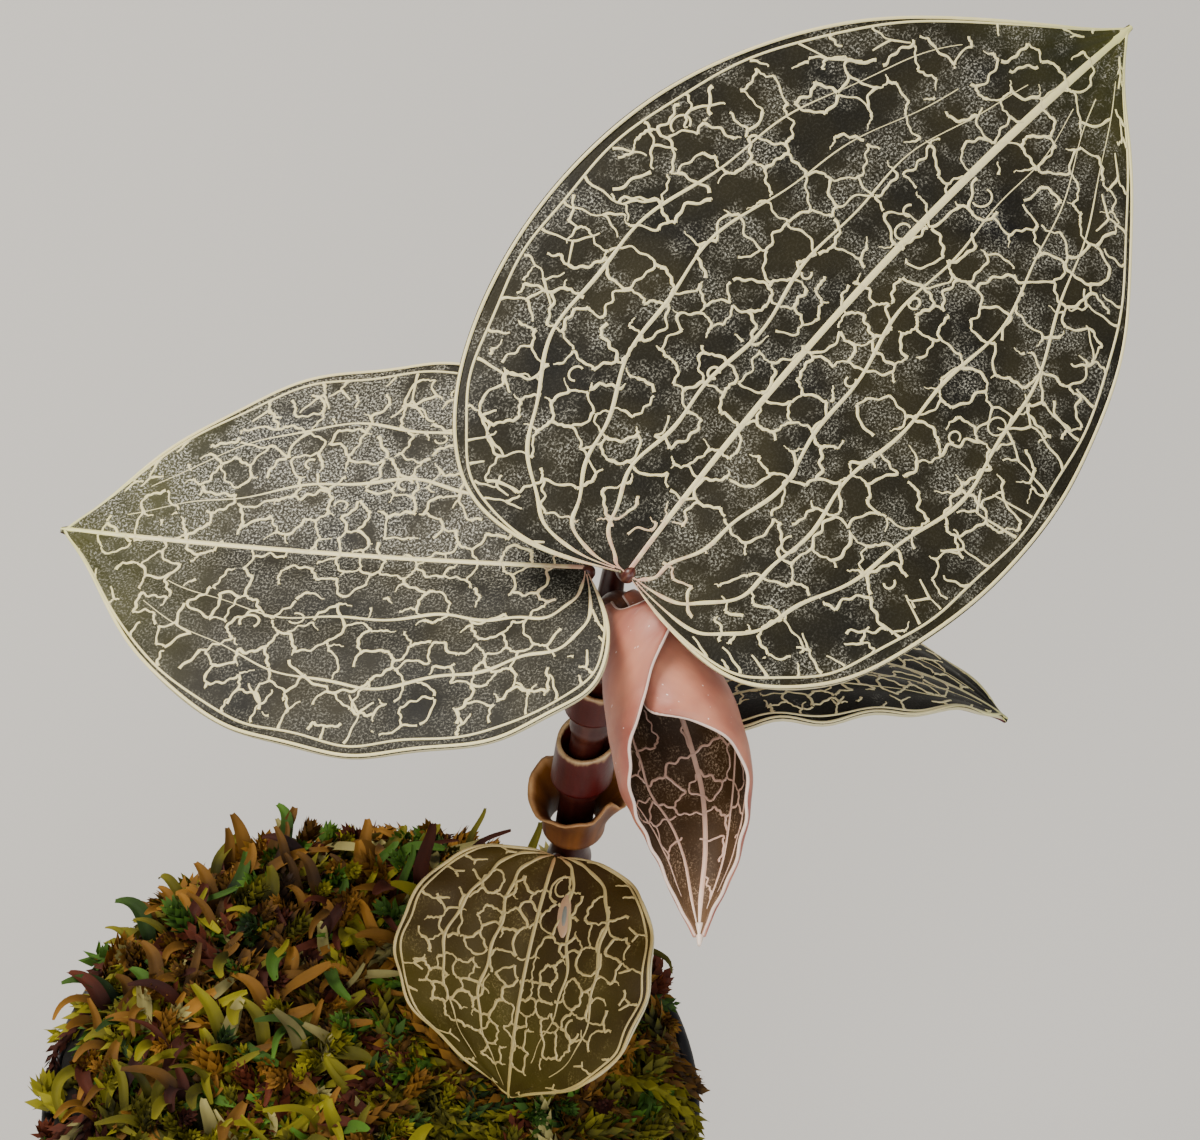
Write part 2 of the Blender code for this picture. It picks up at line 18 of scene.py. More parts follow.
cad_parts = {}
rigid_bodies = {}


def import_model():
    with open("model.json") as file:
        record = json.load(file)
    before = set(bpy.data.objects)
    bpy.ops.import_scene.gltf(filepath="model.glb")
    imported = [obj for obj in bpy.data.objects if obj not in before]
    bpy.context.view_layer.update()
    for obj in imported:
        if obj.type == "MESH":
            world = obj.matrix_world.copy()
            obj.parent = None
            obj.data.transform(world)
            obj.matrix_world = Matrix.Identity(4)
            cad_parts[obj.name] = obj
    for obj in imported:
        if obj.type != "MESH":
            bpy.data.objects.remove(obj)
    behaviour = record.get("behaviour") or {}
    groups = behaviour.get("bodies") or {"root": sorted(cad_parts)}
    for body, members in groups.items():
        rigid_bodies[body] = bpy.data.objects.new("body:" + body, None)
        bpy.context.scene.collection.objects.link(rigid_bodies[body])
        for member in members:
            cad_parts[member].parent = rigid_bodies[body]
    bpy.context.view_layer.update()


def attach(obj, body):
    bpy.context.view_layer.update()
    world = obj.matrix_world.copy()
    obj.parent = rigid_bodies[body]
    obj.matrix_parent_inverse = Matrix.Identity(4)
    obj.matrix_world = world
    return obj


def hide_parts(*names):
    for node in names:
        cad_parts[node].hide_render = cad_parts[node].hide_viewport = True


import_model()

log = logging.getLogger("jewel_orchid")
logging.basicConfig(level=logging.INFO, format="%(message)s")

MM = 0.001
UV_PER_MM = 0.01  # a piece's UV map holds its flat pattern at a hundredth of a unit a millimetre
CLEARANCE = 0.35  # what is left between the stem and the pieces that it carries
WELD = 1e-4  # points this close become one
END_TURN = 0.03  # a blade is drawn from this turn past its base to as much before its tip
STEM_POINTS = np.array([
    (16.0, 9.5, 40.0), (16.0, 9.5, 58.0), (17.0, 10.6, 70.0),
    (18.3, 11.5, 82.0), (19.4, 11.9, 91.0), (20.0, 12.0, 97.6)])
STEM_FOOT = STEM_POINTS[0, :2]

# Settings of nodes that are used more than once
PLUS = {"operation": "ADD"}
PLUS_CLAMPED = {"operation": "ADD", "use_clamp": True}
TIMES = {"operation": "MULTIPLY"}
TIMES_CLAMPED = {"operation": "MULTIPLY", "use_clamp": True}
COLOUR_MIX = {"data_type": "RGBA"}


# Helpers


def linear(code: str) -> tuple[float, float, float, float]:
    """Turns an sRGB hex code into a linear colour.

    Args:
        code: the colour as #rrggbb.

    Returns:
        Red, green, blue and an alpha of 1.
    """
    parts = [int(code[i:i + 2], 16) / 255 for i in (1, 3, 5)]
    red, green, blue = (c / 12.92 if c <= 0.04045 else ((c + 0.055) / 1.055) ** 2.4 for c in parts)
    return red, green, blue, 1.0


def wire(tree: bpy.types.NodeTree, node: bpy.types.Node, **values: object) -> None:
    """Feeds a node's inputs.

    Args:
        tree: the material's node tree.
        node: the node that is fed.
        values: an input's name, with underscores for spaces, or i and its number, and what it gets: a
            value or the socket that feeds it.
    """
    for key, value in values.items():
        name = key.replace("_", " ")
        spot = node.inputs[int(name[1:])] if name[0] == "i" and name[1:].isdigit() else node.inputs[name]
        if isinstance(value, bpy.types.NodeSocket):
            tree.links.new(value, spot)
        else:
            spot.default_value = value


def add(tree: bpy.types.NodeTree, kind: str, settings: dict | None = None,
        **values: object) -> bpy.types.Node:
    """Adds a shader node with its settings and its inputs.

    Args:
        tree: the material's node tree.
        kind: Blender's name of the node, without its Shader prefix.
        settings: properties of the node itself. Under stops it has a ramp's places and sRGB hex colours.
        values: its inputs, as wire takes them.

    Returns:
        The new node.
    """
    node = tree.nodes.new("ShaderNode" + kind)
    for key, value in (settings or {}).items():
        if key != "stops":
            setattr(node, key, value)
            continue
        band = node.color_ramp
        while len(band.elements) < len(value):
            band.elements.new(0.5)
        for element, (place, code) in zip(band.elements, value):
            element.position = place
            element.color = linear(code)
    wire(tree, node, **values)
    return node


def smooth_path(points: np.ndarray, count: int) -> np.ndarray:
    """Places points evenly along a smooth curve through the given ones.

    Args:
        points: the points that the curve passes through.
        count: how many points to place.

    Returns:
        The placed points, one in each row.
    """
    points = np.asarray(points, float)
    ends = np.vstack([2 * points[0] - points[1], points, 2 * points[-1] - points[-2]])
    place = np.linspace(0, len(points) - 1, count)
    k = np.minimum(place.astype(int), len(points) - 2)
    t = (place - k)[:, None]
    a, b, c, d = ends[k], ends[k + 1], ends[k + 2], ends[k + 3]
    cubic = (3 * b - a - 3 * c + d) * t ** 3
    return 0.5 * (2 * b + (c - a) * t + (2 * a - 5 * b + 4 * c - d) * t ** 2 + cubic)


def unit(rows: np.ndarray) -> np.ndarray:
    """Each row scaled to a length of 1."""
    return rows / np.maximum(np.linalg.norm(rows, axis=-1, keepdims=True), 1e-9)


def carried_frames(path: np.ndarray,
                   side: tuple = (1, 0, 0)) -> tuple[np.ndarray, np.ndarray, np.ndarray]:
    """Carries a cross-section's axes along a path without twisting them.

    Args:
        path: the points of the path.
        side: the direction that the first side axis leans to.

    Returns:
        The tangents, the side axes and the third axes.
    """
    tangents = unit(np.gradient(path, axis=0))
    sides = np.empty_like(path)
    current = np.array(side, float)
    for i, tangent in enumerate(tangents):
        current = unit(current - tangent * current.dot(tangent))
        sides[i] = current
    return tangents, sides, np.cross(tangents, sides)


@dataclass
class Solid:
    """Points and faces that grow piece by piece into one mesh. Points are in millimetres."""

    points: list = field(default_factory=list)
    faces: list = field(default_factory=list)
    slots: list = field(default_factory=list)
    flat: list = field(default_factory=list)
    tone: list = field(default_factory=list)
    count: int = 0

    def extend(self, points: np.ndarray, faces: list, slot: int = 0, flat: np.ndarray | None = None,
               tone: np.ndarray | float = 0.0) -> None:
        """Adds a shape.

        Args:
            points: its points, one in each row.
            faces: its faces as tuples of rows.
            slot: the material slot that its faces take.
            flat: a flat pattern coordinate for each point, in millimetres.
            tone: a shade from 0 to 1 for each point, or one for all.
        """
        points = np.asarray(points, float).reshape(-1, 3)
        self.points.append(points)
        self.faces.extend(tuple(int(v) + self.count for v in face) for face in faces)
        self.slots.extend([slot] * len(faces))
        self.flat.append(points[:, :2] if flat is None else np.asarray(flat, float).reshape(-1, 2))
        self.tone.append(np.broadcast_to(np.asarray(tone, float).reshape(-1), (len(points),)))
        self.count += len(points)

    def sheet(self, grid: np.ndarray, slot: int = 0, flat: np.ndarray | None = None,
              tone: np.ndarray | float = 0.0, loop: bool = False, flip: bool = False) -> None:
        """Adds a grid of points as a sheet of quads.

        Args:
            grid: rows by columns by 3.
            slot: the material slot.
            flat: rows by columns by 2, in millimetres.
            tone: rows by columns, or one value.
            loop: joins the last column to the first.
            flip: turns the faces round.
        """
        rows, columns = grid.shape[:2]
        faces = []
        for i in range(rows - 1):
            for j in range(columns if loop else columns - 1):
                k = (j + 1) % columns
                quad = (i * columns + j, i * columns + k, (i + 1) * columns + k, (i + 1) * columns + j)
                faces.append(quad[::-1] if flip else quad)
        self.extend(grid.reshape(-1, 3), faces, slot, flat, tone)

    def slab(self, middle: np.ndarray, normal: np.ndarray, across: np.ndarray, thickness: float,
             flat: np.ndarray, under: np.ndarray) -> None:
        """Adds a grid of points as a thin blade, with its upper face, lower face and edge in slots 0 to 2.

        Args:
            middle: points half way through the blade, rows by columns by 3.
            normal: unit normals of its upper face, in the same form.
            across: each point's place from -1 to 1 across the blade, which thins towards both.
            thickness: how thick its middle is.
            flat: rows by columns by 2, in millimetres.
            under: the lower face's shade, rows by columns.
        """
        rows, columns = across.shape
        thinned = np.minimum(1, (1 - np.abs(across)) * 12) * 0.5 + 0.5
        half = (thickness / 2 * thinned)[..., None]
        start, count = self.count, rows * columns
        self.sheet(middle + normal * half, 0, flat, 0.0)
        self.sheet(middle - normal * half, 1, flat, under, flip=True)
        ring = [(i, 0) for i in range(rows)] + [(rows - 1, j) for j in range(1, columns)]
        ring += [(i, columns - 1) for i in range(rows - 2, -1, -1)]
        ring += [(0, j) for j in range(columns - 2, 0, -1)]
        for (i, j), (k, m) in zip(ring, ring[1:] + ring[:1]):
            one, two = start + i * columns + j, start + k * columns + m
            self.faces.append((one, two, two + count, one + count))
            self.slots.append(2)

    def tube(self, path: np.ndarray, radii: np.ndarray, sides: int, slot: int = 0,
             tone: float | tuple = 0.0) -> None:
        """Adds a round shoot of changing radius with closed ends.

        Args:
            path: its centre line.
            radii: its radius at each point.
            sides: how many points go round it.
            slot: the material slot.
            tone: one shade, or the shades at its start and its end.
        """
        _, one, two = carried_frames(path)
        turn = np.linspace(0, 2 * math.pi, sides, endpoint=False)
        ring = one[:, None] * np.cos(turn)[None, :, None] + two[:, None] * np.sin(turn)[None, :, None]
        grid = path[:, None] + ring * np.asarray(radii)[:, None, None]
        length = np.concatenate([[0], np.cumsum(np.linalg.norm(np.diff(path, axis=0), axis=1))])
        flat = np.stack(np.broadcast_arrays(length[:, None], (turn * np.mean(radii))[None]), -1)
        first, last = (tone, tone) if np.isscalar(tone) else tone
        shade = np.broadcast_to(np.linspace(first, last, len(path))[:, None], grid.shape[:2])
        start = self.count
        self.sheet(grid, slot, flat, shade, loop=True)
        end = start + (len(path) - 1) * sides
        self.faces.append(tuple(range(start + sides - 1, start - 1, -1)))
        self.faces.append(tuple(range(end, end + sides)))
        self.slots.extend([slot, slot])

    def build(self, name: str, finishes: list, weld: bool = True,
              outward: bool = False) -> bpy.types.Object:
        """Makes the object, rides it on the root body and reports it.

        Args:
            name: the piece's name.
            finishes: one finish for each material slot.
            weld: makes points that coincide one.
            outward: works out again which way the faces look.

        Returns:
            The new object, with its place in its mesh.
        """
        mesh = bpy.data.meshes.new(name)
        points = np.vstack(self.points) * MM
        mesh.from_pydata(points.tolist(), [], self.faces)
        for finish in finishes:
            mesh.materials.append(finish.made())
        mesh.polygons.foreach_set("material_index", self.slots)
        corners = np.empty(len(mesh.loops), np.int32)
        mesh.loops.foreach_get("vertex_index", corners)
        layer = mesh.uv_layers.new(name="UVMap")
        layer.data.foreach_set("uv", (np.vstack(self.flat) * UV_PER_MM)[corners].ravel())
        shade = mesh.attributes.new("tone", "FLOAT", "POINT")
        shade.data.foreach_set("value", np.concatenate(self.tone))
        work = bmesh.new()
        work.from_mesh(mesh)
        if weld:
            bmesh.ops.remove_doubles(work, verts=work.verts, dist=WELD * MM)
        if outward:
            bmesh.ops.recalc_face_normals(work, faces=work.faces)
        work.to_mesh(mesh)
        work.free()
        mesh.shade_smooth()
        piece = bpy.data.objects.new(name, mesh)
        bpy.context.scene.collection.objects.link(piece)
        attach(piece, "root")
        log.info("%s: %d faces", name, len(mesh.polygons))
        return piece


# Finishes


@dataclass(frozen=True)
class Finish:
    """A finish that is made into a material once and then shared."""

    name: str

    def made(self) -> bpy.types.Material:
        """The Blender material, made the first time that it is asked for."""
        found = bpy.data.materials.get(self.name)
        if found:
            return found
        material = bpy.data.materials.new(self.name)
        material.use_nodes = True
        tree = material.node_tree
        tree.nodes.clear()
        shader = add(tree, "BsdfPrincipled")
        output = add(tree, "OutputMaterial", Surface=shader.outputs["BSDF"])
        output.is_active_output = True
        self.dress(tree, shader)
        return material

    def dress(self, tree: bpy.types.NodeTree, shader: bpy.types.Node) -> None:
        """Sets the shader's sockets and adds the pattern. Each finish has its own.

        Args:
            tree: the material's node tree.
            shader: its Principled BSDF.
        """
        raise NotImplementedError

    @staticmethod
    def flat(tree: bpy.types.NodeTree) -> bpy.types.NodeSocket:
        """The piece's own flat pattern coordinates."""
        return add(tree, "UVMap", {"uv_map": "UVMap"}).outputs["UV"]

    @staticmethod
    def place(tree: bpy.types.NodeTree) -> bpy.types.NodeSocket:
        """The place in the object, in metres."""
        return add(tree, "TexCoord").outputs["Object"]

    @staticmethod
    def tone(tree: bpy.types.NodeTree) -> bpy.types.NodeSocket:
        """The shade that each point carries."""
        return add(tree, "Attribute", {"attribute_name": "tone"}).outputs["Fac"]


@dataclass(frozen=True)
class VelvetBlade(Finish):
    """Upper skin of a grown leaf: domed cells that drink light, and glints painted as pale grains, so it
    looks dark and frosted.
    """

    dark: str = "#0b0904"
    olive: str = "#292410"
    green: str = "#565618"
    # The pale colour of the glints off the domed cells, painted into the skin's colour; the share below says
    # how much of the blade shows them
    painted_glint: str = "#bab6a4"
    painted_glint_share: float = 0.5
    bright_side: float = 0.0  # how much more painted glint the blade's left half gets, where more light falls, or with a minus its right
    green_from_mm: float = 500.0  # past any tip, so a blade has no green unless this is given
    green_fade_mm: float = 14.0
    side_fade_mm: float = 5.0
    cloud_mm: float = 9.0
    glint_patch_mm: float = 4.0
    grain_mm: float = 0.09
    grain_pitch: float = 2.2  # grains stand this many times their own size apart

    def dress(self, tree: bpy.types.NodeTree, shader: bpy.types.Node) -> None:
        """Olive and black clouds, with silvery grains of painted glint in patches and a fine pebbled bump.
        """
        flat = self.flat(tree)
        place = add(tree, "SeparateXYZ", Vector=flat)
        clouds = add(tree, "TexNoise", Vector=flat, Scale=1 / (self.cloud_mm * UV_PER_MM), Detail=3.0)
        base = add(tree, "ValToRGB", {"stops": [(0.3, self.dark), (0.64, self.olive)]},
                   Fac=clouds.outputs["Fac"])
        near_tip = add(tree, "MapRange", Value=place.outputs["X"], From_Min=self.green_from_mm * UV_PER_MM,
                       From_Max=(self.green_from_mm + self.green_fade_mm) * UV_PER_MM, To_Max=0.9)
        patch = add(tree, "Math", TIMES, i0=near_tip.outputs["Result"], i1=clouds.outputs["Fac"])
        tinted = add(tree, "Mix", COLOUR_MIX, i0=patch.outputs["Value"], i6=base.outputs["Color"],
                     i7=linear(self.green))
        # One skin cell is about 0.05 mm. The grains are drawn almost twice that, so that they show.
        apart = self.grain_mm * self.grain_pitch
        grains = add(tree, "TexNoise", Vector=flat, Scale=1 / (apart * UV_PER_MM), Detail=2.0, Roughness=0.8)
        sharp = add(tree, "MapRange", Value=grains.outputs["Fac"], From_Min=0.5, From_Max=0.64)
        # Patches where the painted glints gather
        glint_patches = add(tree, "TexNoise", Vector=flat, Scale=1 / (self.glint_patch_mm * UV_PER_MM), Detail=5.0,
                     Roughness=0.66)
        more = 0.3 * self.painted_glint_share
        glint_zone = add(tree, "MapRange", Value=glint_patches.outputs["Fac"], From_Min=0.62 - more,
                   From_Max=0.77 - more, To_Min=0.03, To_Max=0.8)
        # Painted light: one half of the blade gets more glints than the other
        fade = self.side_fade_mm * UV_PER_MM
        side = add(tree, "MapRange", Value=place.outputs["Y"], From_Min=-fade, From_Max=fade,
                   To_Min=1 - self.bright_side, To_Max=1 + self.bright_side)
        lit = add(tree, "Math", TIMES, i0=glint_zone.outputs["Result"], i1=side.outputs["Result"])
        share = add(tree, "Math", TIMES_CLAMPED, i0=sharp.outputs["Result"], i1=lit.outputs["Value"])
        # The pale grains mixed into the colour are painted glints
        colour = add(tree, "Mix", COLOUR_MIX, i0=share.outputs["Value"], i6=tinted.outputs[2],
                     i7=linear(self.painted_glint))
        rough = add(tree, "MapRange", Value=share.outputs["Value"], To_Min=0.55, To_Max=0.32)
        bump = add(tree, "Bump", Height=grains.outputs["Fac"], Strength=0.35, Distance=0.00012)
        wire(tree, shader, Base_Color=colour.outputs[2], Roughness=rough.outputs["Result"],
             Normal=bump.outputs["Normal"], Specular_IOR_Level=0.22, Sheen_Weight=0.05,
             Sheen_Roughness=0.4, Sheen_Tint=linear("#b9b8a0"))


@dataclass(frozen=True)
class PlantSkin(Finish):
    """Smooth living skin with faint streaks along it, which gives a soft moist shine."""

    low: str = "#3a120c"
    middle: str = "#4a1d12"
    high: str = "#6a3322"
    streak_mm: float = 0.7
    roughness: float = 0.38
    glow: float = 0.08
    cells_per_m: float = 3000.0  # a third of a millimetre each, so that they show

    def dress(self, tree: bpy.types.NodeTree, shader: bpy.types.Node) -> None:
        """A ramp along the piece's own shade, broken by streaks that run with its length."""
        stretch = add(tree, "Mapping", Vector=self.flat(tree), Scale=(0.12, 1.0, 1.0))
        streaks = add(tree, "TexNoise", Vector=stretch.outputs["Vector"],
                      Scale=1 / (self.streak_mm * UV_PER_MM), Detail=3.0)
        spread = add(tree, "MapRange", Value=streaks.outputs["Fac"], From_Min=0.3, From_Max=0.7,
                     To_Min=-0.22, To_Max=0.22)
        mixed = add(tree, "Math", PLUS_CLAMPED, i0=self.tone(tree), i1=spread.outputs["Result"])
        colour = add(tree, "ValToRGB", {"stops": [(0.0, self.low), (0.5, self.middle), (1.0, self.high)]},
                     Fac=mixed.outputs["Value"])
        fine = add(tree, "TexNoise", Vector=self.place(tree), Scale=self.cells_per_m, Detail=2.0)
        bump = add(tree, "Bump", Height=fine.outputs["Fac"], Strength=0.2, Distance=0.0001)
        wire(tree, shader, Base_Color=colour.outputs["Color"], Normal=bump.outputs["Normal"],
             Roughness=self.roughness, Subsurface_Weight=self.glow,
             Subsurface_Radius=(0.0012, 0.0006, 0.0003), Subsurface_Scale=1.0)


@dataclass(frozen=True)
class GlitterSkin(Finish):
    """Back of the young leaf: pink and matt, with painted glints of single cells scattered over it, so it
    twinkles.
    """

    pale: str = "#da9372"
    deep: str = "#9f5a4b"
    glint_colour: str = "#fff0e6"
    cloud_mm: float = 5.0
    glint_mm: float = 0.42

    def dress(self, tree: bpy.types.NodeTree, shader: bpy.types.Node) -> None:
        """Soft pink clouds along the roll with scattered painted glints."""
        flat = self.flat(tree)
        clouds = add(tree, "TexNoise", Vector=flat, Scale=1 / (self.cloud_mm * UV_PER_MM), Detail=3.0)
        shade = add(tree, "Math", PLUS, i0=clouds.outputs["Fac"], i1=self.tone(tree))
        base = add(tree, "ValToRGB", {"stops": [(0.35, self.deep), (0.75, self.pale)]},
                   Fac=shade.outputs["Value"])
        # Scattered bright dots: painted glints off single cells
        dots = add(tree, "TexVoronoi", Vector=flat, Scale=1 / (self.glint_mm * UV_PER_MM))
        near = add(tree, "MapRange", Value=dots.outputs["Distance"], From_Min=0.16, From_Max=0.06)
        lot = add(tree, "SeparateColor", Color=dots.outputs["Color"])
        some = add(tree, "MapRange", Value=lot.outputs["Red"], From_Min=0.72, From_Max=0.8)
        share = add(tree, "Math", TIMES, i0=near.outputs["Result"], i1=some.outputs["Result"])
        colour = add(tree, "Mix", COLOUR_MIX, i0=share.outputs["Value"], i6=base.outputs["Color"],
                     i7=linear(self.glint_colour))
        bump = add(tree, "Bump", Height=dots.outputs["Distance"], Strength=0.15, Distance=0.0001)
        wire(tree, shader, Base_Color=colour.outputs[2], Normal=bump.outputs["Normal"], Roughness=0.48,
             Subsurface_Weight=0.25, Subsurface_Radius=(0.0015, 0.0006, 0.0004), Subsurface_Scale=1.0)


@dataclass(frozen=True)
class VeinSkin(Finish):
    """Veins: clear skin over cells without green, which reads as pale drawn lines."""

    base: str = "#d3a488"
    middle: str = "#f6e6a8"
    tip: str = "#e6e08e"
    base_share: float = 0.1
    speck_mm: float = 1.1

    def dress(self, tree: bpy.types.NodeTree, shader: bpy.types.Node) -> None:
        """The base's colour where the stalk joins, the middle's over most of the leaf, then the tip's."""
        speck = add(tree, "TexNoise", Vector=self.flat(tree), Scale=1 / (self.speck_mm * UV_PER_MM),
                    Detail=3.0)
        spread = add(tree, "MapRange", Value=speck.outputs["Fac"], To_Min=-0.14, To_Max=0.14)
        shade = add(tree, "Math", PLUS_CLAMPED, i0=self.tone(tree), i1=spread.outputs["Result"])
        stops = [(0.0, self.base), (self.base_share, self.middle), (0.8, self.middle), (1.0, self.tip)]
        colour = add(tree, "ValToRGB", {"stops": stops}, Fac=shade.outputs["Value"])
        wire(tree, shader, Base_Color=colour.outputs["Color"], Roughness=0.42, Subsurface_Weight=0.15,
             Subsurface_Radius=(0.0006, 0.0005, 0.0003), Subsurface_Scale=1.0)


@dataclass(frozen=True)
class MossSkin(Finish):
    """Damp bog moss: thin leaflets one cell thick, matt, with light that comes through their edges."""

    low: str = "#3d3a10"
    high: str = "#8f8a2c"
    patches_per_m: float = 160.0  # about 6 mm each

    def dress(self, tree: bpy.types.NodeTree, shader: bpy.types.Node) -> None:
        """Each strand's shade from its root to its tip, darker at the root as painted shade among the
        strands, with patches from place to place.
        """
        patches = add(tree, "TexNoise", Vector=self.place(tree), Scale=self.patches_per_m, Detail=3.0)
        spread = add(tree, "MapRange", Value=patches.outputs["Fac"], From_Min=0.3, From_Max=0.7,
                     To_Min=-0.3, To_Max=0.3)
        shade = add(tree, "Math", PLUS_CLAMPED, i0=self.tone(tree), i1=spread.outputs["Result"])
        colour = add(tree, "ValToRGB", {"stops": [(0.0, self.low), (1.0, self.high)]},
                     Fac=shade.outputs["Value"])
        wire(tree, shader, Base_Color=colour.outputs["Color"], Roughness=0.78, Specular_IOR_Level=0.25,
             Subsurface_Weight=0.2, Subsurface_Radius=(0.0008, 0.0008, 0.0003), Subsurface_Scale=1.0)


@dataclass(frozen=True)
class MouldedPlastic(Finish):
    """Injection-moulded polypropylene, spark-eroded: a fine even grain that dulls its black."""

    colour: str = "#17171a"
    dust: str = "#37342f"
    marks_per_m: float = 90.0  # about 11 mm each
    grain_per_m: float = 5000.0  # a fifth of a millimetre each

    def dress(self, tree: bpy.types.NodeTree, shader: bpy.types.Node) -> None:
        """Black with thin dried water marks and a fine grain."""
        place = self.place(tree)
        marks = add(tree, "TexNoise", Vector=place, Scale=self.marks_per_m, Detail=5.0, Roughness=0.65)
        base = add(tree, "ValToRGB", {"stops": [(0.5, self.colour), (0.78, self.dust)]},
                   Fac=marks.outputs["Fac"])
        rough = add(tree, "MapRange", Value=marks.outputs["Fac"], From_Min=0.4, From_Max=0.75,
                    To_Min=0.36, To_Max=0.58)
        grain = add(tree, "TexNoise", Vector=place, Scale=self.grain_per_m, Detail=1.0)
        bump = add(tree, "Bump", Height=grain.outputs["Fac"], Strength=0.25, Distance=0.00008)
        wire(tree, shader, Base_Color=base.outputs["Color"], Roughness=rough.outputs["Result"],
             Normal=bump.outputs["Normal"])


@dataclass(frozen=True)
class StudioCard(Finish):
    """Matt painted board under the pot."""

    colour: str = "#c9c6c0"

    def dress(self, tree: bpy.types.NodeTree, shader: bpy.types.Node) -> None:
        """A plain pale colour with no shine."""
        wire(tree, shader, Base_Color=linear(self.colour), Roughness=0.9)


# Copies of one skin with painted light and shade for where each leaf sits: the lit copy has more painted
# glint, more of it on its right half, and the shaded copy has a darker olive and few glints, which is
# painted shade
GROWN_TOP = VelvetBlade("velvet_blade", painted_glint_share=0.5, green_from_mm=52)
LIT_TOP = VelvetBlade("velvet_blade_lit", painted_glint_share=0.78, bright_side=-0.6, green_from_mm=29)
SHADED_TOP = VelvetBlade("velvet_blade_shaded", olive="#1a170b", painted_glint_share=0.15)
LOW_TOP = VelvetBlade("velvet_blade_older", dark="#2c1604", olive="#4b3a10", green="#565016",
                      painted_glint="#8f7d4a", painted_glint_share=0.3, green_from_mm=4)
# The young leaf's inside: its near-black dark and olive are painted shade deep in the roll, turning in
# patches to a paler brown from 13 mm on towards the tip
YOUNG_TOP = VelvetBlade("velvet_blade_young", dark="#1a0d06", olive="#40290f", green="#8a6a4c",
                        painted_glint="#b89a7c", painted_glint_share=0.5, green_from_mm=13)
BACK = PlantSkin("wine_blade_back", low="#2a0f14", middle="#43161e", high="#5e2830", streak_mm=2.0,
                 roughness=0.5)
EDGE = VeinSkin("pale_blade_edge", base="#b09c7c", middle="#c9bf94", tip="#c4c284")
VEINS = VeinSkin("cream_veins")
LOW_VEINS = VeinSkin("yellow_veins", base="#b88c58", middle="#cfb676", tip="#cbb160")
# The young veins' dark base colour, blending to pale a little past the middle, is painted shade over the
# roll's upper half
YOUNG_VEINS = VeinSkin("pink_veins", base="#4a1e16", middle="#edbda2", tip="#fbdbc3", base_share=0.62)
YOUNG_EDGE = VeinSkin("pink_blade_edge", base="#cf9f8b", middle="#ecccba", tip="#f0dcc8")
YOUNG_BACK = GlitterSkin("pink_blade_back")
SCAR = VeinSkin("dry_scar", base="#85867a", middle="#c39a74", tip="#c39a74")
STALK = PlantSkin("red_brown_stalk", low="#2e0a06", middle="#471a12", high="#8a6048", streak_mm=0.5)
STEM_SKIN = PlantSkin("red_brown_stem", low="#2a0c08", middle="#3c130c", high="#5a2c1c", streak_mm=1.2)
SHEATH = PlantSkin("wine_sheath", low="#3c0606", middle="#4e0d08", high="#cfae7c", streak_mm=1.0,
                   roughness=0.42)
DRY_SHEATH = PlantSkin("dry_sheath", low="#4a2008", middle="#7a4610", high="#c0905a", streak_mm=0.9,
                       roughness=0.55)


# Open leaves


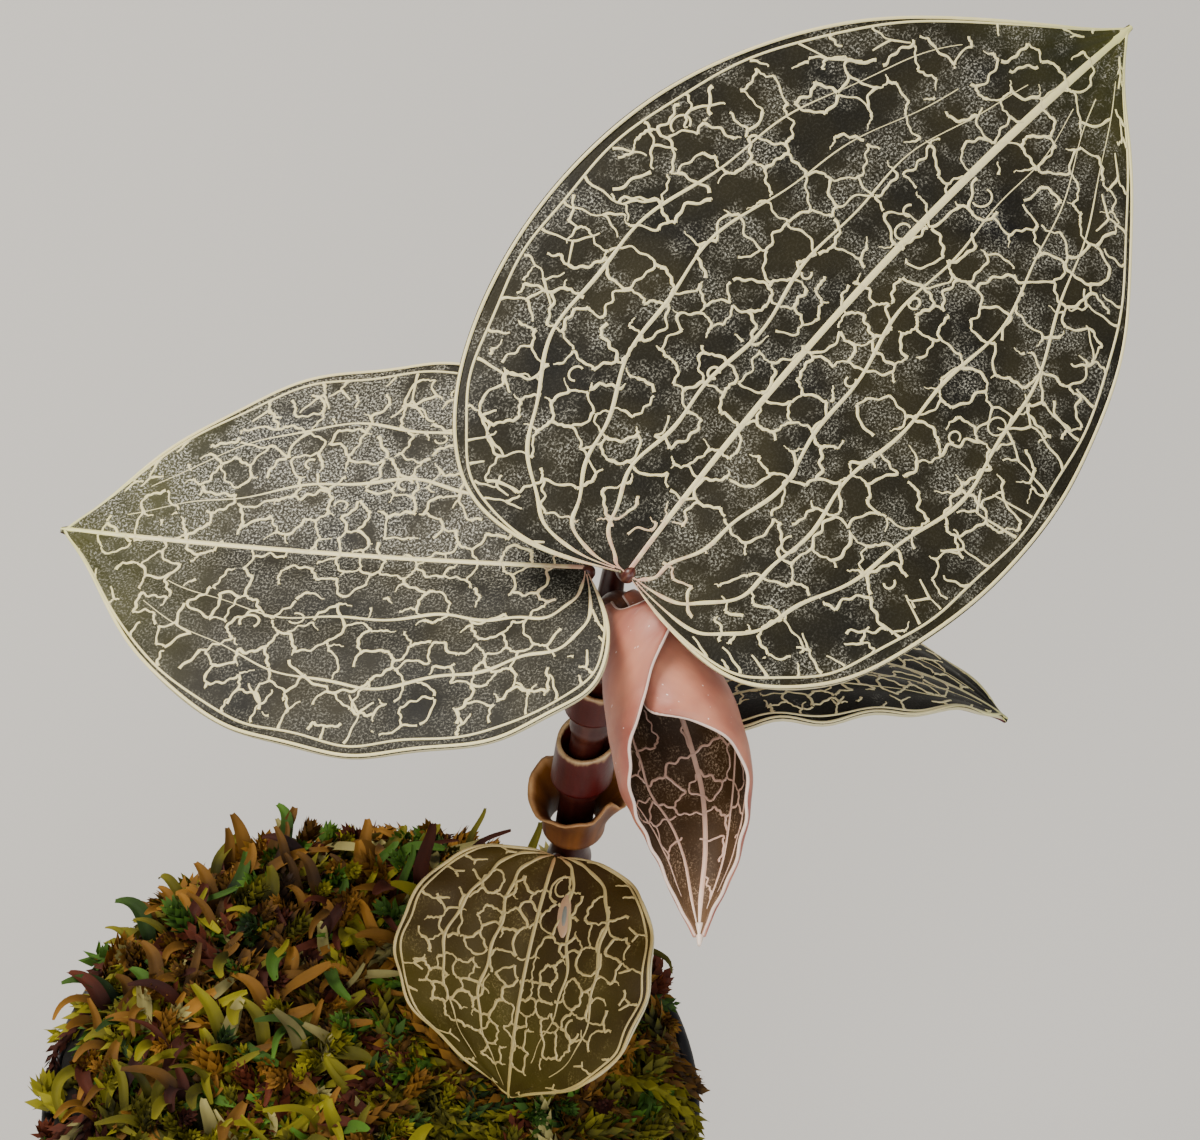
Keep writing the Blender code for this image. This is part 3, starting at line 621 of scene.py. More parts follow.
@dataclass(frozen=True)
class BladeShape:
    """A grown blade's middle surface."""

    base: tuple  # where the stalk joins
    heading: float  # degrees round +Z from +X
    pitch: float  # degrees above level
    roll: float  # degrees about its own length
    length: float
    width: float
    droop: float  # radians that it bends down over its length
    arch: float  # how far its sides bend down, as a share of half its width
    fold: float  # how steeply its halves rise from the midrib
    twist: float  # degrees over its length
    lobe: float  # how far its base reaches back beside the stalk, as a share of its length
    full: float  # more brings the widest place nearer to the base
    tip: float  # more makes the tip blunter
    sway: float  # how far its tip lies to the left, as a share of its length
    wave: float = 0.35  # height of the ripples along its edge
    waves: int = 7
    quilt: float = 0.16  # height of the cushions between its ribs

    def axes(self) -> np.ndarray:
        """Works out how the blade is turned.

        Returns:
            Unit vectors along the blade, to its left and up from its upper face, one in each row.
        """
        h, p, r = (math.radians(v) for v in (self.heading, self.pitch, self.roll))
        along = np.array([math.cos(p) * math.cos(h), math.cos(p) * math.sin(h), math.sin(p)])
        level = np.array([-math.sin(h), math.cos(h), 0.0])
        across = level * math.cos(r) + np.cross(along, level) * math.sin(r)
        return np.array([along, across, np.cross(along, across)])

    def plane(self, turn: np.ndarray, share: np.ndarray) -> tuple[np.ndarray, np.ndarray]:
        """Turns outline places into the blade's flat pattern.

        Args:
            turn: from 0 at the base to pi at the tip.
            share: from -1 at the right edge to 1 at the left.

        Returns:
            Millimetres along and across.
        """
        middle = ((1 - np.cos(turn)) / 2) ** self.full
        edge = middle - np.where(turn < math.pi / 2, self.lobe * np.sin(turn) * np.cos(turn) ** 2, 0)
        across = np.sin(turn) * (1 - np.clip(edge, 0, 1) ** self.tip)
        return (middle + (edge - middle) * share ** 2) * self.length, share * across * self.width / 2

    def points(self, turn: np.ndarray, share: np.ndarray) -> np.ndarray:
        """Places outline places in space.

        Args:
            turn: from 0 at the base to pi at the tip.
            share: from -1 at the right edge to 1 at the left.

        Returns:
            Points of the middle surface, in millimetres.
        """
        turn, share = np.broadcast_arrays(np.asarray(turn, float), np.asarray(share, float))
        a, w = self.plane(turn, share)
        half = self.width / 2
        soft = 0.08 * half
        curl = self.droop / self.length
        lift = self.fold * (np.hypot(w, soft) - soft) - self.arch * half * (w / half) ** 2
        lift = lift + self.wave * share ** 4 * np.sin(turn) * np.sin(2 * self.waves * turn + 2 * share)
        band = np.abs(share) * 3
        lift = lift + self.quilt * np.sin(math.pi * band) ** 2 * np.sin(turn) * np.minimum(1, 3 - band)
        twist = math.radians(self.twist) * a / self.length
        y = w * np.cos(twist) - lift * np.sin(twist) + self.sway * self.length * (a / self.length) ** 2
        z = w * np.sin(twist) + lift * np.cos(twist)
        x = np.sin(curl * a) / curl + z * np.sin(curl * a)
        rise = -(1 - np.cos(curl * a)) / curl + z * np.cos(curl * a)
        return np.array(self.base) + np.stack([x, y, rise], -1) @ self.axes()

    def normals(self, turn: np.ndarray, share: np.ndarray) -> np.ndarray:
        """Works out which way the upper face looks.

        Args:
            turn: from 0 at the base to pi at the tip.
            share: from -1 at the right edge to 1 at the left.

        Returns:
            Unit normals, which at the outline's very ends are those of a place just inside it.
        """
        step = 0.004
        turn, share = np.broadcast_arrays(np.asarray(turn, float), np.asarray(share, float))
        t = np.clip(turn, 0.05, math.pi - 0.05)
        s = np.clip(share, -0.99, 0.99)
        along = self.points(t + step, s) - self.points(t - step, s)
        across = self.points(t, s + step) - self.points(t, s - step)
        return unit(np.cross(along, across))

    def locate(self, a: np.ndarray, w: np.ndarray) -> tuple[np.ndarray, np.ndarray]:
        """Finds the outline places of points of the flat pattern.

        Args:
            a: millimetres along.
            w: millimetres across.

        Returns:
            The turn and the share of each point.
        """
        turns, shares = np.meshgrid(np.linspace(END_TURN, math.pi - END_TURN, 70),
                                    np.linspace(-1, 1, 61), indexing="ij")
        ga, gw = self.plane(turns, shares)
        away = (ga.ravel()[None] - a[:, None]) ** 2 + (gw.ravel()[None] - w[:, None]) ** 2
        near = np.argmin(away, axis=1)
        turn, share = turns.ravel()[near].copy(), shares.ravel()[near].copy()
        step, most = 1e-4, 0.1
        for _ in range(5):
            fa, fw = self.plane(turn, share)
            ta, tw = self.plane(turn + step, share)
            sa, sw = self.plane(turn, share + step)
            a_turn, a_share = (ta - fa) / step, (sa - fa) / step
            w_turn, w_share = (tw - fw) / step, (sw - fw) / step
            det = a_turn * w_share - a_share * w_turn
            det = np.where(np.abs(det) < 1e-3, 1e-3, det)
            da, dw = a - fa, w - fw
            turn = turn + np.clip((w_share * da - a_share * dw) / det, -most, most)
            turn = np.clip(turn, 0.02, math.pi - 0.02)
            share = np.clip(share + np.clip((a_turn * dw - w_turn * da) / det, -most, most), -1, 1)
        return turn, share

    def inside(self, a: np.ndarray, w: np.ndarray, spare: float) -> np.ndarray:
        """Tells which points of the flat pattern are inside the outline.

        Args:
            a: millimetres along.
            w: millimetres across.
            spare: how far from the outline they have to be.

        Returns:
            True or False for each point.
        """
        turn = np.linspace(0, math.pi, 90)
        ea, ew = self.plane(turn, np.ones_like(turn))
        ring = np.vstack([np.stack([ea, ew], -1), np.stack([ea, -ew], -1)[::-1]])
        ahead = np.roll(ring, -1, axis=0)
        odd = np.zeros(len(a), bool)
        for (x1, y1), (x2, y2) in zip(ring, ahead):
            crosses = (y1 > w) != (y2 > w)
            if y1 != y2:
                odd ^= crosses & (a < (x2 - x1) * (w - y1) / (y2 - y1) + x1)
        gap = np.min(np.hypot(ring[None, :, 0] - a[:, None], ring[None, :, 1] - w[:, None]), axis=1)
        return odd & (gap > spare)


@dataclass
class VeinNet:
    """Raised pale lines on a surface, drawn as narrow crowned ribbons half sunk into it."""

    surface: "BladeShape | YoungLeaf"
    solid: Solid = field(default_factory=Solid)
    height: float = 0.07
    lift: float = 0.0  # how far the sheet's face stands above its middle surface
    sink: float = 0.03  # how far a ribbon's edges lie below that face
    crown: float = 0.55  # how much of a ribbon's width its raised part takes

    def line(self, u: np.ndarray, v: np.ndarray, width: np.ndarray, tone: np.ndarray) -> None:
        """Adds one vein.

        Args:
            u: the surface's first coordinate along the vein.
            v: the surface's second coordinate along the vein.
            width: the vein's width at each point, in millimetres.
            tone: the vein's shade at each point.
        """
        centre = self.surface.points(u, v)
        up = self.surface.normals(u, v)
        tangent = unit(np.gradient(centre, axis=0))
        side = unit(np.cross(up, tangent))
        half = np.asarray(width)[:, None] / 2
        face = centre + up * self.lift
        low = up * self.sink
        high = up * np.minimum(self.height, 0.25 * np.asarray(width)[:, None]) * 0.8
        edge, crown = side * half, side * half * self.crown
        grid = np.stack([face - edge - low, face - crown + high, face + crown + high, face + edge - low], 1)
        length = np.concatenate([[0], np.cumsum(np.linalg.norm(np.diff(centre, axis=0), axis=1))])
        across = np.array([0.0, 0.2, 0.4, 0.6])
        flat = np.stack(np.broadcast_arrays(length[:, None], across[None]), -1)
        shade = np.broadcast_to(np.asarray(tone)[:, None], grid.shape[:2])
        self.solid.sheet(grid, 0, flat, shade, flip=True)


def net_edges(seeds: np.ndarray) -> list[tuple[np.ndarray, np.ndarray]]:
    """Lines between the cells that surround a set of seeds.

    Args:
        seeds: the cells' middles, one in each row.

    Returns:
        The two ends of every line.
    """
    tiny = 1e-6
    found = delaunay_2d_cdt([Vector(p) for p in seeds], [], [], 0, tiny)
    points, faces = np.array([tuple(p) for p in found[0]]), found[2]
    centres, sharing = [], {}
    for k, face in enumerate(faces):
        a, b, c = points[face[0]], points[face[1]], points[face[2]]
        d = 2 * ((b[0] - a[0]) * (c[1] - a[1]) - (b[1] - a[1]) * (c[0] - a[0]))
        d = d if abs(d) > tiny else tiny
        p, q = ((b - a) ** 2).sum(), ((c - a) ** 2).sum()
        centres.append(a + np.array([(c[1] - a[1]) * p - (b[1] - a[1]) * q,
                                     (b[0] - a[0]) * q - (c[0] - a[0]) * p]) / d)
        for i in range(3):
            sharing.setdefault(tuple(sorted((face[i], face[(i + 1) % 3]))), []).append(k)
    return [(centres[two[0]], centres[two[1]]) for two in sharing.values() if len(two) == 2]


@dataclass
class OpenLeaf:
    """A grown leaf: its blade, veins, stalk and sheath."""

    name: str
    shape: BladeShape
    sheath: tuple  # heights of its lower and upper end
    petiole: tuple  # places that the stalk passes through on its way to the blade
    seed: int
    cell: float = 2.5  # how far apart the net's cells are
    rows: int = 96
    columns: int = 72
    thickness: float = 0.5
    top: Finish = GROWN_TOP
    veins: Finish = VEINS
    tries: int = 9000  # how many places are tried for the net's cells
    keep: float = 0.66  # the share of the net's lines that are drawn whole
    rib: tuple = (0.5, 0.75)  # the midrib's width at the base and at the tip
    laterals: tuple = (0.34, 0.64)  # how far across each half of the blade its side ribs lie
    stalk_radius: float = 1.15
    scar: tuple = ()  # a dry mark's place along and across, its length and its width

    def blade(self) -> None:
        """The blade: velvet above, wine red below, with a pale edge all round."""
        solid = Solid()
        turn, share = np.meshgrid(np.linspace(END_TURN, math.pi - END_TURN, self.rows + 1),
                                  np.linspace(-1, 1, self.columns + 1), indexing="ij")
        flat = np.stack(self.shape.plane(turn, share), -1)
        solid.slab(self.shape.points(turn, share), self.shape.normals(turn, share), share,
                   self.thickness, flat, 0.5 + 0.4 * np.abs(share))
        piece = solid.build(self.name + "_blade", [self.top, BACK, EDGE], outward=True)
        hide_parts(self.name)

    def tone_at(self, a: np.ndarray, w: np.ndarray) -> np.ndarray:
        """The veins' shade at places of the flat pattern, from 0 where the stalk joins to 1 at the tip."""
        return np.clip(np.hypot(a, w) / self.shape.length, 0, 1)

    def vein_net(self) -> None:
        """The ribs that arch towards the tip, the broken net between them and the lines along the edge."""
        draw = random.Random(self.seed)
        net = VeinNet(self.shape, lift=self.thickness / 2)
        for share in (0.0, *self.laterals, *[-s for s in self.laterals]):
            self.rib_line(net, draw, share)
        for side in (-1, 1):
            self.margin(net, draw, side)
        self.curls(net, draw, self.cells(net, draw))
        if self.scar:
            self.dry_mark()
        piece = net.solid.build(self.name + "_veins", [self.veins], weld=False)

    def dry_mark(self) -> None:
        """A small pale scar on the blade: a rim, and a middle that stands a little above it."""
        a, w, long, wide = self.scar
        t = np.linspace(-1, 1, 14)
        swell = np.sqrt(np.maximum(0.04, 1 - t ** 2))
        for part, grow, tone in (("rim", 1.0, 0.6), ("middle", 0.5, 0.0)):
            u, v = self.shape.locate(a + t * long / 2 * grow, w + t * 0.3 * grow)
            mark = VeinNet(self.shape, lift=self.thickness / 2 + 0.03 * (1 - grow))
            mark.line(u, v, wide * grow * swell, np.full(14, tone))
            piece = mark.solid.build(f"{self.name}_scar_{part}", [SCAR], weld=False)

    def rib_line(self, net: VeinNet, draw: random.Random, share: float) -> None:
        """Draws the midrib, or a side rib that fades before it reaches the tip.

        Args:
            net: what the rib is added to.
            draw: the seeded chance that varies it.
            share: how far across the half blade it lies, 0 for the midrib.
        """
        last = math.pi - 0.05 if share == 0 else draw.uniform(2.25, 2.75)
        turn = np.linspace(0.06, last, 150)
        wiggle = 0.035 * np.sin(5 * turn + draw.uniform(0, 6))
        wiggle = wiggle + 0.013 * np.sin(17 * turn + draw.uniform(0, 6))
        across = share + (wiggle if share else 0 * turn)
        a, w = self.shape.plane(turn, across)
        if share == 0:
            grow = np.clip(a / self.shape.length, 0, 1)
            width = self.rib[0] + (self.rib[1] - self.rib[0]) * grow
            width = width * np.clip((math.pi - END_TURN - turn) * 5, 0.35, 1)
        else:
            width = 0.34 * np.clip((last - turn) * 1.2, 0.3, 1) * (1 + 0.14 * np.sin(23 * turn + share))
        net.line(turn, across, width * np.clip(turn * 3, 0.4, 1), self.tone_at(a, w))

    def margin(self, net: VeinNet, draw: random.Random, side: int) -> None:
        """Draws the pale line on one edge, the vein inside it and the short branches it sends inwards.

        Args:
            net: what the lines are added to.
            draw: the seeded chance that varies them.
            side: 1 for the edge on the leaf's left, -1 for the other.
        """
        turn = np.linspace(END_TURN, math.pi - END_TURN, 220)
        edge = 0.99 * side + 0 * turn
        tone = self.tone_at(*self.shape.plane(turn, edge))
        net.line(turn, edge, 0.27 * np.clip(np.sin(turn) * 6, 0.3, 1), tone)
        drift = 0.006 * np.sin(19 * turn + draw.uniform(0, 6))
        net.line(turn, side * (0.945 + drift), 0.2 * np.clip(np.sin(turn) * 5, 0.3, 1), tone)
        apart, left_out, forked = 2.1, 0.15, 0.6
        count = int(self.shape.length / apart)
        for k in range(count):
            if draw.random() < left_out:
                continue
            start = 0.28 + (math.pi - 0.62) * (k + draw.uniform(0.2, 0.8)) / count
            deep = draw.uniform(0.76, 0.89)
            fork = start + draw.uniform(-0.03, 0.03)
            self.branch(net, draw, (start, 0.94 * side), (fork, deep * side))
            if draw.random() < forked:
                for way in (-1, 1):
                    u = fork + way * draw.uniform(0.02, 0.06)
                    v = side * (deep - draw.uniform(0.03, 0.1))
                    self.branch(net, draw, (fork, deep * side), (u, v))

    def branch(self, net: VeinNet, draw: random.Random, root: tuple, end: tuple) -> None:
        """Draws one short vein that wanders between two outline places and thins a little.

        Args:
            net: what the vein is added to.
            draw: the seeded chance that varies it.
            root: the turn and the share where it starts.
            end: the turn and the share where it ends.
        """
        t = np.linspace(0, 1, 9)
        bend = draw.uniform(-0.012, 0.012)
        straight = root[0] + (end[0] - root[0]) * t
        u = straight + bend * np.sin(math.pi * t) + bend * 0.5 * np.sin(3 * math.pi * t)
        v = root[1] + (end[1] - root[1]) * t
        net.line(u, v, draw.uniform(0.22, 0.32) * (1 - 0.35 * t), self.tone_at(*self.shape.plane(u, v)))

    def cells(self, net: VeinNet, draw: random.Random) -> list[np.ndarray]:
        """Draws the net of cells between the ribs, with lines missing and ends left loose.

        Args:
            net: what the veins are added to.
            draw: the seeded chance that varies them.

        Returns:
            The middles of the cells, in the flat pattern.
        """
        shape, seeds = self.shape, []
        for _ in range(self.tries):
            p = np.array([draw.uniform(-0.3, 1.05) * shape.length, draw.uniform(-0.55, 0.55) * shape.width])
            reach = self.cell * draw.uniform(0.5, 1.25)
            if all((p[0] - q[0]) ** 2 / 1.6 + (p[1] - q[1]) ** 2 > reach ** 2 for q in seeds):
                seeds.append(p)
        ends = np.array([np.concatenate(e) for e in net_edges(np.array(seeds))])
        within = shape.inside(ends[:, 0], ends[:, 1], 1.5) & shape.inside(ends[:, 2], ends[:, 3], 1.5)
        for row in ends[within]:
            one, two = row[:2], row[2:]
            if not 0.3 <= np.linalg.norm(two - one) <= 3.4 * self.cell:
                continue
            loose = draw.random() > self.keep
            if loose:
                if draw.random() > 0.5:
                    continue
                two = one + (two - one) * draw.uniform(0.3, 0.65)
            self.wandering(net, draw, one, two, loose)
        return seeds

    def curls(self, net: VeinNet, draw: random.Random, seeds: list[np.ndarray]) -> None:
        """Draws a few open rings in the middle of cells.

        Args:
            net: what the rings are added to.
            draw: the seeded chance that varies them.
            seeds: the middles of the cells.
        """
        shape, area_each = self.shape, 90
        for _ in range(int(shape.length * shape.width / area_each)):
            p = seeds[draw.randrange(len(seeds))]
            if not shape.inside(p[:1], p[1:], 2.5)[0]:
                continue
            turn = draw.uniform(0, 6.3) + np.linspace(0, draw.uniform(3.4, 6.2), 16)
            size = draw.uniform(0.35, 0.75)
            path = p + np.stack([1.25 * np.cos(turn), np.sin(turn)], -1) * size
            u, v = shape.locate(path[:, 0], path[:, 1])
            net.line(u, v, np.full(16, draw.uniform(0.18, 0.26)), self.tone_at(path[:, 0], path[:, 1]))

    def wandering(self, net: VeinNet, draw: random.Random, one: np.ndarray, two: np.ndarray,
                  loose: bool) -> None:
        """Draws one small vein that wanders a little between two points of the flat pattern.

        Args:
            net: what the vein is added to.
            draw: the seeded chance that varies it.
            one: where it starts.
            two: where it ends.
            loose: whether its far end is a free one, which is thinner.
        """
        long = float(np.linalg.norm(two - one))
        count = max(7, int(long * 5))
        t = np.linspace(0, 1, count)
        across = np.array([-(two - one)[1], (two - one)[0]])
        hump = draw.uniform(-0.2, 0.2) * 4 * t * (1 - t)
        kinks = sum(draw.uniform(-0.05, 0.05) * np.sin(k * math.pi * t) for k in (2, 3, 5))
        path = one + t[:, None] * (two - one) + across * (hump + kinks)[:, None]
        broad = draw.uniform(0.18, 0.3)
        width = broad * (1 + 0.3 * (2 * t - 1) ** 4 + 0.12 * np.sin(long * 5 * t + draw.uniform(0, 6)))
        width = width * (1 - 0.6 * t) if loose else width
        u, v = self.shape.locate(path[:, 0], path[:, 1])
        net.line(u, v, width, self.tone_at(path[:, 0], path[:, 1]))

    def stalk(self) -> None:
        """The stalk and the sheath that clasps the stem."""
        solid = Solid()
        low, high = self.sheath
        centre, _ = STEM.at(high - 2.2)
        start = centre + (np.array(self.petiole[0]) - centre) * 0.45
        up = self.shape.normals(0.5, 0.0).reshape(1, 3)
        end = self.shape.points(np.array(0.5), np.array(0.0)).reshape(1, 3) - up * 0.25
        path = smooth_path(np.vstack([start, self.petiole, self.shape.base - up * 0.5, end]), 40)
        radii = self.stalk_radius * (1 - 0.66 * np.linspace(0, 1, 40) ** 1.2)
        radii[-6:] *= np.linspace(0.9, 0.3, 6)
        solid.tube(path, radii, 18, 0, (0.25, 0.6))
        Sheath(low, high, mouth=0.35, tilt=self.shape.heading).into(solid, 1)
        piece = solid.build(self.name + "_stalk", [STALK, SHEATH], outward=True)
        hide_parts(self.name)

    def make(self) -> None:
        """Builds and dresses all of the leaf."""
        self.blade()
        self.vein_net()
        self.stalk()


# Stem and sheaths


@dataclass
class Stem:
    """The creeping stem's upright end, with its leaf scars and its roots."""

    foot_radius: float = 1.9
    top_radius: float = 1.25
    nodes: tuple = (60.0, 69.5, 78.0, 85.5, 92.5)  # heights of its leaf scars
    swell: float = 0.3
    roots: int = 3

    def at(self, height: float) -> tuple[np.ndarray, float]:
        """Finds the stem at a height.

        Args:
            height: in millimetres.

        Returns:
            The stem's centre and radius there.
        """
        path = smooth_path(STEM_POINTS, 200)
        share = (height - path[0, 2]) / (path[-1, 2] - path[0, 2])
        radius = self.foot_radius + (self.top_radius - self.foot_radius) * min(share, 1)
        if height > path[-1, 2]:
            way = unit(path[-1] - path[-2])
            return path[-1] + way * (height - path[-1, 2]), radius
        return np.array([np.interp(height, path[:, 2], path[:, k]) for k in range(3)]), radius

    def make(self) -> None:
        """Builds the stem with its roots."""
        solid = Solid()
        path = smooth_path(STEM_POINTS, 170)
        share = (path[:, 2] - path[0, 2]) / (path[-1, 2] - path[0, 2])
        radii = self.foot_radius + (self.top_radius - self.foot_radius) * share
        for node in self.nodes:
            radii = radii + self.swell * np.exp(-((path[:, 2] - node) / 0.7) ** 2)
        radii[-4:] *= np.array([0.97, 0.88, 0.7, 0.4])
        solid.tube(path, radii, 28, 0, (0.2, 0.75))
        foot = path[0]
        for i in range(self.roots):
            turn = 2 * math.pi * i / self.roots + 0.4
            out = np.array([math.cos(turn), math.sin(turn), 0])
            route = [foot + (0, 0, 2.5), foot + out * 1.3 - (0, 0, 1.0), foot + out * 1.6 - (0, 0, 6.6)]
            solid.tube(smooth_path(route, 14), np.linspace(0.8, 0.45, 14), 12, 0, 0.9)
        piece = solid.build("stem_shoot", [STEM_SKIN], outward=True)
        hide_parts("stem")


STEM = Stem()


@dataclass
class Sheath:
    """A thin sleeve round the stem with a pale rim at its mouth."""

    low: float
    high: float
    mouth: float  # how far it opens at its upper end
    tilt: float = 0.0  # the side on which its rim stands higher, in degrees
    wall: float = 0.6
    slack: float = 0.12  # room round the stem besides the clearance
    middle_radius: float = 2.4  # its radius in its flat pattern
    steps: int = 48
    levels: int = 18

    def rise(self, turn: np.ndarray, share: float) -> np.ndarray:
        """How far each place stands above the sleeve's level line, in millimetres."""
        return 0.5 * share ** 2 * np.cos(turn - math.radians(self.tilt))

    def into(self, solid: Solid, slot: int) -> None:
        """Adds the sleeve to a solid.

        Args:
            solid: what it is added to.
            slot: the material slot that it takes.
        """
        turn = np.linspace(0, 2 * math.pi, self.steps, endpoint=False)
        out = np.stack([np.cos(turn), np.sin(turn), 0 * turn], -1)
        walls = []
        for wall in (0.0, 1.0):
            grid = []
            for share in np.linspace(0, 1, self.levels):
                height = self.low + (self.high - self.low) * share
                centre, radius = STEM.at(height)
                inner = radius + CLEARANCE + self.slack + self.flare(turn, share)
                thick = self.wall * (1 - 0.5 * share ** 4)
                ring = centre + out * (inner + wall * thick)[:, None]
                ring[:, 2] = height + self.rise(turn, share)
                grid.append(ring)
            walls.append(np.array(grid))
        tone = np.repeat(np.linspace(0, 1, self.levels)[:, None] ** 9, self.steps, 1) * 0.75 + 0.22
        length = np.linspace(self.low, self.high, self.levels)
        flat = np.stack(np.broadcast_arrays(length[:, None], (turn * self.middle_radius)[None]), -1)
        start = solid.count
        solid.sheet(walls[1], slot, flat, tone, loop=True)
        inner_start = solid.count
        solid.sheet(walls[0], slot, flat, tone, loop=True, flip=True)
        for level in (0, self.levels - 1):
            for k in range(self.steps):
                j = (k + 1) % self.steps
                a, b = start + level * self.steps + k, start + level * self.steps + j
                c, d = inner_start + level * self.steps + j, inner_start + level * self.steps + k
                solid.faces.append((a, b, c, d) if level else (d, c, b, a))
                solid.slots.append(slot)

    def flare(self, turn: np.ndarray, share: float) -> np.ndarray:
        """How far the sleeve stands out from the stem, in millimetres."""
        return self.mouth * share ** 3 + 0 * turn


@dataclass
class OldSheath(Sheath):
    """The dry sleeve of a leaf that has dropped, with a curled lip and a torn point."""

    tear: float = 2.3
    tear_turn: float = 5.35  # radians round +Z from +X
    lip_turn: float = 4.5

    def rise(self, turn: np.ndarray, share: float) -> np.ndarray:
        """Torn to a point on one side of the front, with a ragged rim."""
        tear = self.tear * np.exp(-(np.angle(np.exp(1j * (turn - self.tear_turn))) / 0.3) ** 2)
        return (tear + 0.5 * np.sin(3 * turn) + 0.16 * np.sin(11 * turn)) * share ** 2

    def flare(self, turn: np.ndarray, share: float) -> np.ndarray:
        """Opened to a collar whose lip turns outwards at the front."""
        front = 0.5 + 0.5 * np.cos(turn - self.lip_turn)
        return self.mouth * share ** 2.2 * (0.75 + 0.5 * front)

    def make(self) -> None:
        """Builds the old sheath."""
        solid = Solid()
        self.into(solid, 0)
        piece = solid.build("old_sheath_sleeve", [DRY_SHEATH], outward=True)
        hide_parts("old_sheath")


# Young leaf


@dataclass
class YoungLeaf:
    """The youngest leaf, still rolled lengthwise with its upper face inside."""

    axis: tuple = (
        (21.1, 11.8, 101.0), (23.1, 9.0, 99.6), (24.9, 4.7, 97.5), (26.1, 1.1, 95.9),
        (27.0, -2.5, 94.2), (27.3, -5.8, 92.2), (27.1, -9.1, 90.2), (27.1, -11.5, 89.0))
    opening: tuple = (-0.12, -0.62, 0.78)  # the way that the roll's mouth looks
    # The share along the axis, the radius, and the degrees from the back to the outer and the inner edge
    sections: tuple = (
        (0.0, 1.3, 160, 155), (0.05, 2.1, 180, 165), (0.1, 3.0, 232, 185), (0.17, 3.6, 206, 204),
        (0.24, 4.3, 178, 205), (0.33, 4.8, 158, 196), (0.39, 4.9, 143, 157), (0.49, 5.0, 130, 109),
        (0.59, 4.4, 111, 92), (0.75, 2.9, 90, 84), (0.89, 1.25, 78, 76), (1.0, 0.35, 66, 62))
    spiral: float = 0.13  # the share by which the radius grows from the back to the outer edge
    hook: float = 1.9  # how far the outer edge curls away near the mouth's top
    thickness: float = 0.5
    rows: int = 110
    columns: int = 110
    seed: int = 31
    tries: int = 1500  # how many places are tried for the net's cells

    def __post_init__(self) -> None:
        """Works out the roll's axes once."""
        self.path = smooth_path(np.array(self.axis), 241)
        self.shares = np.linspace(0, 1, 241)
        tangent = unit(np.gradient(self.path, axis=0))
        opening = np.array(self.opening)
        self.front = unit(opening - tangent * (tangent @ opening)[:, None])
        self.left = np.cross(tangent, self.front)
        steps = np.linalg.norm(np.diff(self.path, axis=0), axis=1)
        self.length = float(steps.sum())

    def eased(self, column: int, share: np.ndarray) -> np.ndarray:
        """Reads a size between the stated sections, on a smooth curve through them.

        Args:
            column: which of the sections' columns it is in.
            share: from 0 at the base to 1 at the tip.

        Returns:
            The size at each share.
        """
        table = np.array(self.sections)
        last = len(table) - 1
        k = np.clip(np.searchsorted(table[:, 0], share, side="right") - 1, 0, last - 1)
        before, after = np.maximum(k - 1, 0), np.minimum(k + 2, last)
        place, size = table[:, 0], table[:, column]
        span = place[k + 1] - place[k]
        t = np.clip((share - place[k]) / span, 0, 1)
        leaving = span * (size[k + 1] - size[before]) / (place[k + 1] - place[before])
        arriving = span * (size[after] - size[k]) / (place[after] - place[k])
        start = size[k] * (1 + 2 * t) * (1 - t) ** 2 + leaving * t * (1 - t) ** 2
        return start + size[k + 1] * t * t * (3 - 2 * t) - arriving * t * t * (1 - t)

    def points(self, share: np.ndarray, across: np.ndarray) -> np.ndarray:
        """Points of the rolled sheet.

        Args:
            share: from 0 at the base to 1 at the tip.
            across: from -1 at the inner edge to 1 at the outer.

        Returns:
            The points, in millimetres.
        """
        share, across = np.broadcast_arrays(np.asarray(share, float), np.asarray(across, float))
        centre, front, left = (np.stack([np.interp(share, self.shares, rows[:, k]) for k in range(3)], -1)
                               for rows in (self.path, self.front, self.left))
        reach = np.where(across > 0, self.eased(2, share), self.eased(3, share))
        turn = np.radians(reach) * across
        radius = self.eased(1, share) * (1 + self.spiral * across)
        flare = self.hook * np.maximum(0, across) ** 5 * np.exp(-((share - 0.13) / 0.075) ** 2)
        ripple = 0.1 * np.abs(across) ** 6 * np.sin(63 * share + across) * np.sin(math.pi * share)
        out = -front * np.cos(turn)[..., None] + left * np.sin(turn)[..., None]
        return centre + out * (radius + flare + ripple)[..., None]

    def normals(self, share: np.ndarray, across: np.ndarray) -> np.ndarray:
        """Works out which way the face inside the roll looks, which is the leaf's upper face.

        Args:
            share: from 0 at the base to 1 at the tip.
            across: from -1 at the inner edge to 1 at the outer.

        Returns:
            Unit normals.
        """
        e = 0.003
        s, c = np.broadcast_arrays(np.clip(share, 0.01, 0.99), np.clip(across, -0.99, 0.99))
        along = self.points(s + e, c) - self.points(s - e, c)
        over = self.points(s, c + e) - self.points(s, c - e)
        normal = unit(np.cross(along, over))
        centre = np.stack([np.interp(s, self.shares, self.path[:, k]) for k in range(3)], -1)
        inward = centre - self.points(s, c)
        side = np.sign(np.sum(normal * inward, -1))[..., None]
        return normal * np.where(side == 0, 1, side)

    def half_width(self, share: np.ndarray, outer: np.ndarray) -> np.ndarray:
        """The sheet's half width at a share, once laid flat, in millimetres."""
        reach = np.where(outer, self.eased(2, share), self.eased(3, share))
        return self.eased(1, share) * np.radians(reach)

